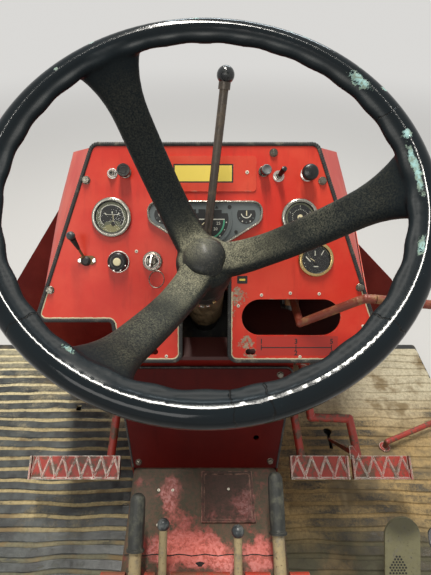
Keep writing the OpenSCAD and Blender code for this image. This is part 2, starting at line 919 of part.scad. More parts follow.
module steering_wheel() {
    steps = 9;
    first = hub_r - 8;
    last = wheel_r - rim_r - 2;
    radii = [for (i = [0:steps]) first + (last - first) * i / steps];
    color([0.1, 0.1, 0.1])
        on_column()
            difference() {
                union() {
                    rim();
                    intersection() {
                        rotate_extrude()
                            polygon(concat([for (r = radii) dish_face(r, 1)],
                                [for (i = [steps:-1:0]) dish_face(radii[i], -1)]));
                        translate([0, 0, -2 * dish])
                            linear_extrude(3 * dish)
                                spoke_plan();
                    }
                    rotate_extrude()
                        polygon([[0, hub_bottom], [hub_r - 8, hub_bottom], [hub_r - 3, hub_bottom + 9],
                            [hub_r, hub_bottom + 35], [hub_r, hub_top - 14], [hub_r - 4, hub_top - 5],
                            [hub_r - 10, hub_top], [0, hub_top]]);
                }
                translate([0, 0, hub_bottom - eps])
                    cylinder(h = hub_top - hub_bottom + 2 * eps, r = shaft_r + run);
            }
}

// Domed cap over the wheel's nut
module wheel_cap() {
    r = 25;
    rise = 9;
    dome = (r * r + rise * rise) / (2 * rise);
    color([0.1, 0.1, 0.1])
        on_column()
            translate([0, 0, hub_top])
                union() {
                    cylinder(h = 2, r = r);
                    intersection() {
                        translate([0, 0, 2 + rise - dome])
                            sphere(r = dome);
                        translate([0, 0, 2])
                            cylinder(h = rise + eps, r = r);
                    }
                }
}

// Black collar on the column with the ears of the upright lever
module hand_lever_base() {
    collar_h = 20;
    ear = [5, 32, 16];
    ear_x = 8;
    pin_end = ear_x + ear.x + 1;
    pin = [hand_local.y, hand_local.z];
    color([0.12, 0.12, 0.12])
        on_column()
            difference() {
                union() {
                    translate([0, 0, column_top - collar_h - 2])
                        cylinder(h = collar_h, r = sleeve_r + 1);
                    for (side = [0, 1])
                        mirror([side, 0, 0])
                            translate([ear_x, 20, column_top - collar_h])
                                cube(ear);
                    cross_bar(-pin_end, pin_end, pin, hand_pin_r);
                }
                translate([0, 0, column_top - 30])
                    cylinder(h = 40, r = tube_r + run);
                difference() {
                    cross_bar(-ear_x, ear_x, pin, hand_pin_r + 5);
                    cross_bar(-ear_x - eps, ear_x + eps, pin, hand_pin_r);
                }
            }
}

module hand_lever() {
    way = unit(hand_ball - hand_at);
    color([0.2, 0.2, 0.2])
        difference() {
            union() {
                cross_bar(-hand_hub / 2, hand_hub / 2, [hand_at.y, hand_at.z], hand_pin_r + 3.5);
                bar(hand_at + 5 * way, hand_ball, rod_r);
                translate(hand_ball)
                    sphere(r = ball_r);
                bar(hand_ball - (ball_r + 6) * way, hand_ball, rod_r + 2);
            }
            cross_bar(-hand_hub, hand_hub, [hand_at.y, hand_at.z], hand_pin_r + run);
        }
}

// The gear lever's pivot frame: z up the panel
module at_gear() {
    translate(gear_at)
        rotate([panel_tilt - 90, 0, 0])
            children();
}

module gear_pivot() {
    cheek = 6;
    cheek_r = 13;
    back = [18, 24];     // near and far side of the plate that joins the cheeks
    foot_y = [8, 36];
    neck_y = [14, 24];
    neck_z = 14;
    cheek_end = gear_hub / 2 + gap + cheek;
    floor_z = cowl_floor(gear_at.y + foot_y.x) + gap;
    color("dimgray")
        union() {
            at_gear() {
                translate([0, 0, -cheek_end - 3])
                    cylinder(h = 2 * cheek_end + 6, r = gear_pin_r);
                for (z = [-cheek_end, cheek_end - cheek])
                    translate([0, 0, z])
                        union() {
                            cylinder(h = cheek, r = cheek_r);
                            translate([-cheek_r, 0, 0])
                                cube([2 * cheek_r, back.y, cheek]);
                        }
                translate([-cheek_r, back.x, -cheek_end])
                    cube([2 * cheek_r, back.y - back.x, 2 * cheek_end]);
            }
            across(gear_at.x - cheek_r, gear_at.x + cheek_r)
                polygon([[gear_at.y + foot_y.x, floor_z], [gear_at.y + foot_y.y, floor_z],
                    [gear_at.y + neck_y.y, gear_at.z - neck_z], [gear_at.y + neck_y.x, gear_at.z - neck_z]]);
        }
}

// Route of the gear lever's tube from its pivot through the slot to its knob
gear_route = [
    [0, -16, 2], [0, -76, 9], [73, -92, 70], [82, -94, 76], [94, -96, 77], [150, -104, 76], [232, -116, 77]];

module gear_lever() {
    points = [for (p = gear_route) gear_at + p];
    points_in = [0, -8, 1];
    last = len(points) - 1;
    color([0.45, 0.2, 0.15])
        difference() {
            union() {
                at_gear()
                    translate([0, 0, -gear_hub / 2])
                        cylinder(h = gear_hub, r = 12);
                bar(gear_at + points_in, points[0], gear_r);
                for (i = [0:last - 1]) {
                    bar(points[i], points[i + 1], gear_r);
                    translate(points[i])
                        sphere(r = gear_r + knuckle);
                }
                bar(points[last] - 14 * unit(points[last] - points[last - 1]), points[last], 9, 12);
                translate(points[last])
                    sphere(r = 18);
            }
            at_gear()
                translate([0, 0, -gear_hub / 2 - eps])
                    cylinder(h = gear_hub + 2 * eps, r = gear_pin_r + run);
        }
}

ridge_pitch = 25;    // distance between the peaks of a pad's ridges
pad_back = 156;      // how far the pads' middles are behind the shaft
pad_t = 4;
pad_end = [3, 12];   // thickness and height of a pad's turned-up ends
clutch_hub = [-175, -147];
brake_hubs = [[147, 173], [179, 207]];

module pedal_shaft() {
    color("gray")
        union() {
            cross_bar(clutch_hub.x - 8, brake_hubs[1].y + 8, pedal_at, pedal_shaft_r);
            for (ring = [[clutch_hub.x - 7, clutch_hub.x - gap], [clutch_hub.y + gap, -141],
                    [141, brake_hubs[0].x - gap], [brake_hubs[0].y + gap, brake_hubs[1].x - gap],
                    [brake_hubs[1].y + gap, brake_hubs[1].y + 7]])
                cross_bar(ring.x, ring.y, pedal_at, pedal_shaft_r + 5);
        }
}

// A pad with a raised lattice and turned-up ends
module pad(x, w) {
    n = round(w / ridge_pitch);
    pitch = w / n;
    ridge = [2.6, 7];        // thickness and height of a ridge above the pad's back
    foot = pitch * 0.62;     // how far a ridge's foot is from its peak, across the pad
    leg = norm([foot, pad_l]);
    translate([x, pedal_at.x - pad_back, pad_z])
        rotate([pad_tilt, 0, 0])
            union() {
                translate([-w / 2, -pad_l / 2, 0])
                    cube([w, pad_l, pad_t]);
                linear_extrude(ridge.y)
                    intersection() {
                        square([w, pad_l], center = true);
                        union() {
                            for (i = [0:n - 1], side = [-1, 1])
                                translate([(i + 0.5) * pitch - w / 2, pad_l / 2 - ridge.x])
                                    rotate(-90 + side * atan2(foot, pad_l))
                                        translate([-ridge.x / 2, -ridge.x / 2])
                                            square([leg, ridge.x]);
                        }
                    }
                for (side = [0, 1])
                    mirror([side, 0, 0])
                        translate([w / 2 - pad_end.x, -pad_l / 2, 0])
                            cube([pad_end.x, pad_l, pad_end.y]);
                translate([-w / 2, -pad_l / 2, 0])
                    cube([w, 3, ridge.y - 1]);
            }
}

// A pedal: hub on the cross shaft, a bar bent along its route, and the pad
module pedal(hub, route, x, w) {
    last = len(route) - 1;
    color("firebrick")
        difference() {
            union() {
                cross_bar(hub.x, hub.y, pedal_at, pedal_shaft_r + 7);
                for (i = [0:last - 1]) {
                    bar(route[i], route[i + 1], arm_r);
                    translate(route[i + 1])
                        sphere(r = arm_r + knuckle);
                }
                pad(x, w);
            }
            cross_bar(hub.x - eps, hub.y + eps, pedal_at, pedal_shaft_r + run);
        }
}

function pedal_point(x, y, z) = [x, pedal_at.x + y, pedal_at.y + z];

module clutch_pedal() {
    pedal(clutch_hub, [pedal_point(-161, -12, -8), pedal_point(-186, -140, -146)], -251, clutch_pad);
}

module brake_pedal_left() {
    pedal(brake_hubs[0], [pedal_point(160, -12, -8), pedal_point(190, -140, -146)], 221, brake_pad);
}

module brake_pedal_right() {
    x = 341;
    color("firebrick")
        union() {
            pedal(brake_hubs[1], [pedal_point(193, -12, -8), pedal_point(210, -84, -88),
                pedal_point(286, -86, -90), pedal_point(302, -140, -146)], x, brake_pad);
            brake_latch(x - brake_pad / 2);
        }
}

// Plate on the right pad's inner corner, with the strap that the parking catch takes hold of
module brake_latch(inner_x) {
    plate = [17, 24];
    over = 1.5;          // height of the plate's underside over the pad's
    strap = [1, 4];      // inner and outer side of the strap from the plate's edge
    plate_x = inner_x - 2;
    corner_yz = [pedal_at.x - pad_back + pad_l / 2 * cos(pad_tilt), pad_z + pad_l / 2 * sin(pad_tilt)];
    foot_yz = [keyhole_at.y - 33, top_z + mat_t + rib_h + 9];
    translate([plate_x, pedal_at.x - pad_back, pad_z])
        rotate([pad_tilt, 0, 0])
            translate([0, pad_l / 2 - 6, over])
                cube([plate.x, plate.y, pad_t]);
    across(plate_x + strap.x, plate_x + strap.y)
        polygon([corner_yz + [1, 3], corner_yz + [11, 8], foot_yz + [9, 1], foot_yz + [6, -1], foot_yz + [0, 2]]);
}

module foot_throttle_base() {
    color("dimgray")
        union() {
            translate([foot_at.x - foot_w / 2 - 2, foot_at.y - 16, top_z])
                cube([foot_w + 4, 36, 4]);
            for (side = [0, 1])
                translate([foot_at.x, 0, 0])
                    mirror([side, 0, 0])
                        across(foot_w / 2 - 5, foot_w / 2)
                            polygon([[foot_at.y - 9, top_z], [foot_at.y + 9, top_z],
                                [foot_at.y + 8, foot_at.z + 6], [foot_at.y - 8, foot_at.z + 6]]);
            cross_bar(foot_at.x - foot_w / 2 - 2, foot_at.x + foot_w / 2 + 2, [foot_at.y, foot_at.z], 4);
        }
}

// Organ pedal hinged at its heel, with a round top
module foot_throttle() {
    hub = foot_w - 2 * 5 - 2 * gap;
    hub_r = 9;
    neck = hub - 6;
    color("gray")
        difference() {
            union() {
                cross_bar(foot_at.x - hub / 2, foot_at.x + hub / 2, [foot_at.y, foot_at.z], hub_r);
                translate(foot_at)
                    rotate([foot_tilt, 0, 0])
                        translate([0, 0, 3]) {
                            translate([-neck / 2, 0, 0])
                                cube([neck, 24, 5]);
                            linear_extrude(5)
                                union() {
                                    translate([-foot_w / 2, 22])
                                        square([foot_w, foot_l - 22 - foot_w / 2]);
                                    translate([0, foot_l - foot_w / 2])
                                        circle(foot_w / 2);
                                }
                        }
            }
            cross_bar(foot_at.x - hub, foot_at.x + hub, [foot_at.y, foot_at.z], 4 + run);
        }
}

// Red bar on two feet that stands on the right mat, across the footwell's corner
module side_bar() {
    foot = [12, 4];      // radius and height
    height = 24;
    z0 = top_z + mat_t + rib_h;
    ends = [for (p = side_bar_ends) [p.x, p.y, z0 + height]];
    color("firebrick")
        union() {
            for (p = ends) {
                translate([p.x, p.y, z0])
                    cylinder(h = foot.y, r = foot.x);
                translate([p.x, p.y, z0 + foot.y - 1])
                    cylinder(h = height - foot.y + 1, r = side_bar_r);
                translate(p)
                    sphere(r = side_bar_r + knuckle);
            }
            bar(ends[0], ends[1], side_bar_r);
        }
}

underframe();
cross_members();
floor_plate();
mat(-1);  // mat_left
mat(1);  // mat_right
toe_board();
tunnel_cover();
tunnel_lid();
rear_console();
lever_shaft();
floor_lever(levers[0]);  // park_lever
floor_lever(levers[1]);  // lift_lever
floor_lever(levers[2]);  // draft_lever
floor_lever(levers[3]);  // range_lever
pedestal();
column_bracket();
lower_panel();
lower_trim();
dash_housing();
dash_panel();
dash_trim();
cover_plate();
cluster();
gauge(gauge_left_at, gauge_left_r);  // gauge_left
gauge(gauge_top_at, gauge_top_r);  // gauge_right_upper
gauge(gauge_low_at, gauge_low_r);  // gauge_right_lower
dash_switches();
ignition_lock();
column_tube();
column_sleeve();
steering_shaft();
steering_wheel();
wheel_cap();
hand_lever_base();
hand_lever();
gear_pivot();
gear_lever();
pedal_shaft();
clutch_pedal();
brake_pedal_left();
brake_pedal_right();
foot_throttle_base();
foot_throttle();
side_bar();
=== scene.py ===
# %% [markdown]
# This notebook dresses the driving platform of an old tractor. The solids come packed from the CAD model,
# with every body and joint in place. Blender adds what makes them look real: paint that has faded, chipped
# and rusted, dusty rubber, dials behind glass, rivets, bolts and a moulded steering wheel. Nothing that the
# CAD model fixes is moved. Lengths are in metres, and in millimetres where a comment says so.

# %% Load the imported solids
import math

import bmesh
import bpy
from mathutils import Matrix, Vector, noise


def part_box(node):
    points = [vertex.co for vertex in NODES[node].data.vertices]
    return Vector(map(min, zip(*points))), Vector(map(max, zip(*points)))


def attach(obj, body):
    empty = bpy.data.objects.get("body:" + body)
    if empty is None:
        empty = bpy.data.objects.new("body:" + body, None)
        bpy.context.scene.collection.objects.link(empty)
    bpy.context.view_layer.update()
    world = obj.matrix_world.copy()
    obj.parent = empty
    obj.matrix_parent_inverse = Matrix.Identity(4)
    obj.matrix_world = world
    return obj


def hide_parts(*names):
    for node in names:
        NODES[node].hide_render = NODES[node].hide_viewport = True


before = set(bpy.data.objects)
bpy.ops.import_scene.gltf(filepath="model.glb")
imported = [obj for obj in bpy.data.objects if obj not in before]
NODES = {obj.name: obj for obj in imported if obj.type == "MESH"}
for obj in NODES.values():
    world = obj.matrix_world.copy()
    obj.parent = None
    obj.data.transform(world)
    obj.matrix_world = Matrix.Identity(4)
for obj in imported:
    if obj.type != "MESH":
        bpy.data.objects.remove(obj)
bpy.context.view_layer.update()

# %% [markdown]
# The camera stands where the driver's eyes are and looks forward and down over the wheel. Its field of view
# is a phone's main lens. A small sideways shift puts the platform's centre line a little left of the middle.

# %% Camera at the driver's eyes
EYE = Vector((0.0, -0.475, 0.990))
LOOK_DOWN = 40.0
FRAME_TALL = 575.0
FOCAL_PIXELS = 432.0
CENTRE_OFFSET = 10.5
SENSOR = 36.0

camera = bpy.data.objects.new("camera", bpy.data.cameras.new("camera"))
camera.location = EYE
camera.rotation_euler = (math.radians(90.0 - LOOK_DOWN), 0.0, 0.0)
camera.data.sensor_width = SENSOR
camera.data.lens = SENSOR * FOCAL_PIXELS / FRAME_TALL
camera.data.shift_x = CENTRE_OFFSET / FRAME_TALL
camera.data.clip_start = 0.01
bpy.context.scene.collection.objects.link(camera)
bpy.context.scene.camera = camera
bpy.context.scene.view_settings.view_transform = "Standard"
print("lens", round(camera.data.lens, 2), "mm")

# %% [markdown]
# Shader maths reads best as formulas. A Wire stands for one output of a node, and Python's own operators on
# it add Math nodes, so `1 - dust * 0.5` is two nodes. A Tree is any set of nodes: its `add` makes a node from
# its type, its settings and what goes into its sockets. A Finish is the Tree of one material.

# %% Wires that do arithmetic
class Wire:
    """One output of a node in a tree."""

    def __init__(self, tree, socket):
        self.tree = tree
        self.socket = socket

    def math(self, operation, *values):
        return self.tree.add("ShaderNodeMath", {"operation": operation}, dict(enumerate(values)))

    def __add__(self, other):
        return self.math("ADD", self, other)

    def __sub__(self, other):
        return self.math("SUBTRACT", self, other)

    def __rsub__(self, other):
        return self.math("SUBTRACT", other, self)

    def __mul__(self, other):
        return self.math("MULTIPLY", self, other)

    def __truediv__(self, other):
        return self.math("DIVIDE", self, other)

    def __pow__(self, other):
        return self.math("POWER", self, other)

    __radd__ = __add__
    __rmul__ = __mul__

    def most(self, other):
        return self.math("MAXIMUM", self, other)

    def least(self, other):
        return self.math("MINIMUM", self, other)

    def size(self):
        return self.math("ABSOLUTE", self)

    def step(self, low, high):
        """0 below low, 1 above high and a soft slope between them. With low above high it falls."""
        sockets = {"Value": self, "From Min": low, "From Max": high, "To Min": 0.0, "To Max": 1.0}
        return self.tree.add("ShaderNodeMapRange", {"interpolation_type": "SMOOTHSTEP"}, sockets)


# %% Finishes made of nodes
def paint(red, green, blue):
    """A colour as it looks on screen, 0 to 255 a channel, in the linear values that Blender mixes."""
    channels = [c / 255.0 for c in (red, green, blue)]
    return tuple(c / 12.92 if c <= 0.04045 else ((c + 0.055) / 1.055) ** 2.4 for c in channels) + (1.0,)


def shade(colour, share):
    """The same colour, darker below 1 and lighter above."""
    return tuple(c * share for c in colour[:3]) + (1.0,)


class Tree:
    """The nodes of a material or of the world."""

    def __init__(self, owner):
        owner.use_nodes = True
        self.nodes = owner.node_tree.nodes
        self.links = owner.node_tree.links

    def add(self, kind, settings=None, sockets=None, out=0):
        """Any node: its type, settings, the values or wires of its sockets, and the output to go on from."""
        node = self.nodes.new(kind)
        for name, value in (settings or {}).items():
            setattr(node, name, value)
        for name, value in (sockets or {}).items():
            self.join(value, node.inputs[name])
        return Wire(self, node.outputs[out])

    def join(self, value, socket):
        if isinstance(value, Wire):
            self.links.new(value.socket, socket)
        else:
            socket.default_value = value

    def vectors(self, operation, first, second, out="Value"):
        return self.add("ShaderNodeVectorMath", {"operation": operation}, {0: first, 1: second}, out)


class Finish(Tree):
    """A material with one Principled shader."""

    def __init__(self, name, **constants):
        self.material = bpy.data.materials.new(name)
        super().__init__(self.material)
        self.shader = self.nodes["Principled BSDF"]
        self.place = self.add("ShaderNodeTexCoord", out="Object")
        self.set(**constants)

    def set(self, **sockets):
        """Feeds the shader: colours, roughness and whatever else varies over the surface."""
        for name, value in sockets.items():
            self.join(value, self.shader.inputs[name.replace("_", " ")])
        return self

    def axis(self, letter):
        return self.add("ShaderNodeSeparateXYZ", sockets={0: self.place}, out=letter)

    def cloud(self, size, detail=4.0, rough=0.6, stretch=(1.0, 1.0, 1.0), offset=0.0):
        """Soft noise with lumps of about that size in metres."""
        sockets = {"Vector": self.place, "Scale": tuple(1.0 / (size * s) for s in stretch)}
        spread = self.add("ShaderNodeMapping", {"vector_type": "POINT"}, sockets)
        sockets = {"Vector": spread, "W": offset, "Scale": 1.0, "Detail": detail, "Roughness": rough}
        return self.add("ShaderNodeTexNoise", {"noise_dimensions": "4D"}, sockets)

    def blend(self, factor, first, second):
        """The first colour where factor is 0 and the second where it is 1."""
        return self.add("ShaderNodeMix", {"data_type": "RGBA"}, {0: factor, 6: first, 7: second}, out=2)

    def near(self, point, inner, outer):
        """1 within inner of a point and 0 beyond outer."""
        return self.vectors("DISTANCE", self.place, point).step(outer, inner)

    def along(self, direction, start):
        """How far a point lies from a start in a direction."""
        away = self.vectors("SUBTRACT", self.place, tuple(start), out="Vector")
        return self.vectors("DOT_PRODUCT", away, tuple(direction))

    def facing(self, direction):
        """How far the surface faces a direction, from -1 to 1."""
        return self.vectors("DOT_PRODUCT", self.add("ShaderNodeNewGeometry", out="Normal"), direction)

    def edges(self, radius, low=0.02, high=0.2):
        """1 along the edges of the solid, out to about radius."""
        soft = self.add("ShaderNodeBevel", {"samples": 6}, {"Radius": radius})
        true = self.add("ShaderNodeNewGeometry", out="True Normal")
        return (1.0 - self.vectors("DOT_PRODUCT", soft, true)).step(low, high)

    def bump(self, height, distance, strength):
        """The last step of a finish: gives its surface relief and hands over the material."""
        sockets = {"Height": height, "Distance": distance, "Strength": strength}
        return self.set(Normal=self.add("ShaderNodeBump", sockets=sockets)).material


print("helpers for materials are ready")

# %% [markdown]
# The platform stands on a plain pale floor under wide soft lamps, as in a workshop with big windows. Close to
# the platform the floor is ordinary and takes its shadow. Far out, the camera and mirror-like surfaces see a
# plain pale tone, so that the floor and the sky meet without a line.

# %% Floor, sky and lamps
FLOOR_SIZE = 60.0
FLOOR_PLAIN_FROM = 1.6
FLOOR_PLAIN_TO = 4.0
PALE = (0.70, 0.69, 0.67, 1.0)
FLOOR_TONE = (0.50, 0.49, 0.48, 1.0)
SKY_LIGHT = (0.49, 0.485, 0.475, 1.0)


def seen_directly(tree):
    """1 for rays from the camera, in mirrors and through glass."""
    camera_ray, mirror_ray, glass_ray = [
        tree.add("ShaderNodeLightPath", out=f"Is {kind} Ray") for kind in ("Camera", "Glossy", "Transmission")
    ]
    return camera_ray.most(mirror_ray).most(glass_ray)


def make_floor():
    bpy.ops.mesh.primitive_plane_add(size=FLOOR_SIZE)
    ground = bpy.context.object
    ground.name = "studio_floor"
    finish = Finish("studio_floor", Base_Color=FLOOR_TONE, Roughness=0.9)
    far = 1.0 - finish.near((0.0, 0.0, 0.0), FLOOR_PLAIN_FROM, FLOOR_PLAIN_TO)
    plain = finish.add("ShaderNodeEmission", sockets={"Color": PALE, "Strength": 1.0})
    surface = Wire(finish, finish.shader.outputs["BSDF"])
    mixed = finish.add("ShaderNodeMixShader", sockets={0: far * seen_directly(finish), 1: surface, 2: plain})
    finish.join(mixed, finish.nodes["Material Output"].inputs["Surface"])
    ground.data.materials.append(finish.material)


def make_sky():
    world = bpy.data.worlds.new("sky")
    bpy.context.scene.world = world
    sky = Tree(world)
    background = sky.nodes["Background"]
    background.inputs["Color"].default_value = SKY_LIGHT
    light = Wire(sky, background.outputs[0])
    shown = sky.add("ShaderNodeBackground", sockets={"Color": PALE})
    mixed = sky.add("ShaderNodeMixShader", sockets={0: seen_directly(sky), 1: light, 2: shown})
    sky.join(mixed, sky.nodes["World Output"].inputs["Surface"])


def make_lamp(name, place, aim, size, power, tint):
    lamp = bpy.data.lights.new(name, "AREA")
    lamp.shape = "RECTANGLE"
    lamp.size, lamp.size_y = size
    lamp.energy = power
    lamp.color = tint
    holder = bpy.data.objects.new(name, lamp)
    holder.location = place
    holder.rotation_euler = (Vector(aim) - Vector(place)).to_track_quat("-Z", "Y").to_euler()
    bpy.context.scene.collection.objects.link(holder)


make_floor()
make_sky()
# name, place, aim, width and height, watts, tint
for row in (
    ("window_light", (0.4, 2.3, 2.3), (0.0, 0.0, 0.6), (1.6, 0.25), 18.0, (0.80, 0.93, 1.0)),
    ("roof_light", (-0.1, 0.55, 2.9), (0.0, 0.1, 0.4), (0.13, 1.2), 78.0, (1.0, 0.965, 0.89)),
    ("back_light", (-0.9, -2.2, 2.3), (0.0, 0.0, 0.5), (1.6, 0.9), 20.0, (1.0, 0.98, 0.94)),
):
    make_lamp(*row)
print("floor, sky and lamps are in place")

# %% [markdown]
# Most added pieces are skins stretched over rings of points: a rivet is a few circles that shrink to a point,
# a tube is one circle repeated along a path, and a plate is its outline repeated twice. A Form collects such
# skins, with a number for the finish of each, and becomes one object at the end.

# %% Forms made of rings
MM = 0.001
# a turned part keeps this radius on its axis, in millimetres, so that no face closes to nothing
ON_AXIS = 0.001
# edges of an added piece look sharp over this angle
PIECE_SHARP = 35.0


def mm(points):
    """Pairs in millimetres as pairs in metres."""
    return [(x * MM, y * MM) for x, y in points]


def angles(count, turn=0.0):
    """Even angles once round a circle."""
    return [turn + math.tau * i / count for i in range(count)]


def polar(radius, degrees, middle=(0.0, 0.0)):
    a = math.radians(degrees)
    return (middle[0] + radius * math.cos(a), middle[1] + radius * math.sin(a))


def circle(place, radius, height, steps, turn=0.0):
    """Points of a circle round the z axis of a place."""
    return [place @ Vector((radius * math.cos(a), radius * math.sin(a), height)) for a in angles(steps, turn)]


def along_z(way):
    """The turn that brings the z axis into a direction."""
    return way.to_track_quat("Z", "Y").to_matrix().to_4x4()


class Form:
    """Points and faces of a piece while it is being made."""

    def __init__(self):
        self.points = []
        self.faces = []
        self.finishes = []

    def skin(self, rings, finish=0, caps=(True, True), loop=False):
        """Joins rings with equally many points, and closes the ends with caps or in a loop."""
        start = len(self.points)
        around = len(rings[0])
        for ring in rings:
            self.points.extend(Vector(p) for p in ring)
        spans = len(rings) if loop else len(rings) - 1
        made = []
        for i in range(spans):
            a = start + i * around
            b = start + (i + 1) % len(rings) * around
            for j in range(around):
                k = (j + 1) % around
                made.append((a + j, a + k, b + k, b + j))
        if caps[0] and not loop:
            made.append(tuple(start + j for j in reversed(range(around))))
        if caps[1] and not loop:
            made.append(tuple(start + (len(rings) - 1) * around + j for j in range(around)))
        self.faces.extend(made)
        self.finishes.extend([finish] * len(made))
        return self

    def lathe(self, profile, at, steps, finish=0, turn=0.0):
        """Turns a profile of (radius, height) points round the z axis of a place."""
        return self.skin([circle(at, radius, height, steps, turn) for radius, height in profile], finish)

    def turned(self, at, profile, finish, steps=32, turn=0.0):
        """A lathe part from rows in millimetres. An end that lies off the axis is closed by a flat face."""
        rows = list(profile)
        if rows[0][0] != ON_AXIS:
            rows.insert(0, (ON_AXIS, rows[0][1]))
        if rows[-1][0] != ON_AXIS:
            rows.append((ON_AXIS, rows[-1][1]))
        return self.lathe(mm(rows), at, steps, finish, turn)

    def slab(self, outline, low, high, at, finish, soft=0.0):
        """A plate with that outline, whose upper edge is softened by drawing its top in a little."""
        points = [Vector(p).to_3d() for p in outline]
        centre = sum(points, Vector()) / len(points)
        inner = 1.0 - soft / max((p - centre).length for p in points)
        rows = [(1.0, low), (1.0, high - soft), (inner, high)] if soft else [(1.0, low), (1.0, high)]
        return self.skin([
            [at @ (centre + (p - centre) * share + Vector((0.0, 0.0, height))) for p in points]
            for share, height in rows
        ], finish)

    def tube(self, path, radius, steps, finish, loop=False):
        """A round bar along a path. The radius is a number or a function of the share of the path."""
        path = [Vector(p) for p in path]
        count = len(path)
        rings = []
        side = None
        for i, point in enumerate(path):
            before = path[i - 1] if i or loop else path[0]
            after = path[(i + 1) % count] if i < count - 1 or loop else path[-1]
            way = (after - before).normalized()
            if side is None:
                side = way.orthogonal().normalized()
            side = (side - way * side.dot(way)).normalized()
            up = way.cross(side)
            r = radius(i / (count - 1)) if callable(radius) else radius
            rings.append([point + r * (math.cos(a) * side + math.sin(a) * up) for a in angles(steps)])
        return self.skin(rings, finish, loop=loop)

    def object(self, name, body, finishes, slot, replaces=()):
        """The finished piece with all faces turned outward, riding on its body."""
        mesh = bpy.data.meshes.new(name)
        mesh.from_pydata(self.points, [], self.faces)
        for finish in finishes:
            mesh.materials.append(finish)
        mesh.polygons.foreach_set("material_index", self.finishes)
        bm = bmesh.new()
        bm.from_mesh(mesh)
        bmesh.ops.recalc_face_normals(bm, faces=bm.faces)
        bm.to_mesh(mesh)
        bm.free()
        soften(mesh, PIECE_SHARP)
        return settle(bpy.data.objects.new(name, mesh), body, replaces)


def soften(mesh, sharp):
    """Shades a mesh smooth, with edges over an angle kept sharp."""
    mesh.shade_smooth()
    mesh.set_sharp_from_angle(angle=math.radians(sharp))


def coat_mesh(mesh, finish, sharp):
    """Gives a mesh of the CAD model one finish all over."""
    mesh.materials.clear()
    mesh.materials.append(finish)
    soften(mesh, sharp)


def settle(piece, body, replaces):
    """Links a new piece, lets it ride on its body and hides the solids that it replaces."""
    bpy.context.scene.collection.objects.link(piece)
    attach(piece, body)
    if replaces:
        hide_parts(*replaces)
    return piece


def rounded_box(width, height, radius, steps, middle):
    """Outline of a rectangle with round corners."""
    outline = []
    for number, (sx, sy) in enumerate(((1, 1), (-1, 1), (-1, -1), (1, -1))):
        cx = middle[0] + sx * (width / 2.0 - radius)
        cy = middle[1] + sy * (height / 2.0 - radius)
        for i in range(steps + 1):
            a = math.radians(90.0 * number + 90.0 * i / steps)
            outline.append((cx + radius * math.cos(a), cy + radius * math.sin(a)))
    return outline


print("helpers for shapes are ready")

# %% [markdown]
# Three places come back again and again, so each gets a matrix worked out from its slope: the instrument
# panel, the lower panel under it and the steering column. A piece on the panel can then be placed by how far
# it is across and up the panel.

# %% Places on the platform
PANEL_TILT = 55.0
PANEL_AT = Vector((0.0, 0.1034, 0.6478))
COLUMN_LEAN = 28.6
WHEEL_AT = Vector((0.0, -0.100, 0.800))
DISH = 0.165
TUNNEL_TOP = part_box("tunnel_cover")[1].z
LOWER_LOW = Vector((0.0, -0.092, TUNNEL_TOP))
LOWER_HIGH = Vector((0.0, -0.007, 0.424))
MAT_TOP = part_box("mat_left")[1].z


def leaning(at, degrees):
    return Matrix.Translation(at) @ Matrix.Rotation(math.radians(degrees), 4, "X")


PANEL = leaning(PANEL_AT, PANEL_TILT)
COLUMN = leaning(WHEEL_AT, COLUMN_LEAN)
rise = LOWER_HIGH - LOWER_LOW
LOWER = leaning(LOWER_LOW, math.degrees(math.atan2(rise.z, rise.y)))


def on(place, x=0.0, y=0.0, z=0.0):
    """A place moved by millimetres in its own axes."""
    return place @ Matrix.Translation(Vector((x, y, z)) * MM)


def spot(x, y):
    """A place on the instrument panel, millimetres across and up it."""
    return on(PANEL, x, y)


def turned_by(place, degrees, axis):
    return place @ Matrix.Rotation(math.radians(degrees), 4, axis)


print("tunnel top at", round(TUNNEL_TOP, 3), "mat top at", round(MAT_TOP, 3))

# %% [markdown]
# The bright red of the instrument panel is thick shop paint. It has gone a little chalky in clouds, its edges
# and the rim of the column's notch are chipped to pale primer and brown rust, and dust lies at the bottom.
# The chips come from a mask of the solid's own edges, widened and broken up by noise.

# %% Red paints
RUST = paint(70, 36, 22)
PALE_DUST = paint(176, 158, 128)
# near black: painted shade for the inside of the housing
HOUSING_SHADE_BLACK = paint(16, 11, 9)


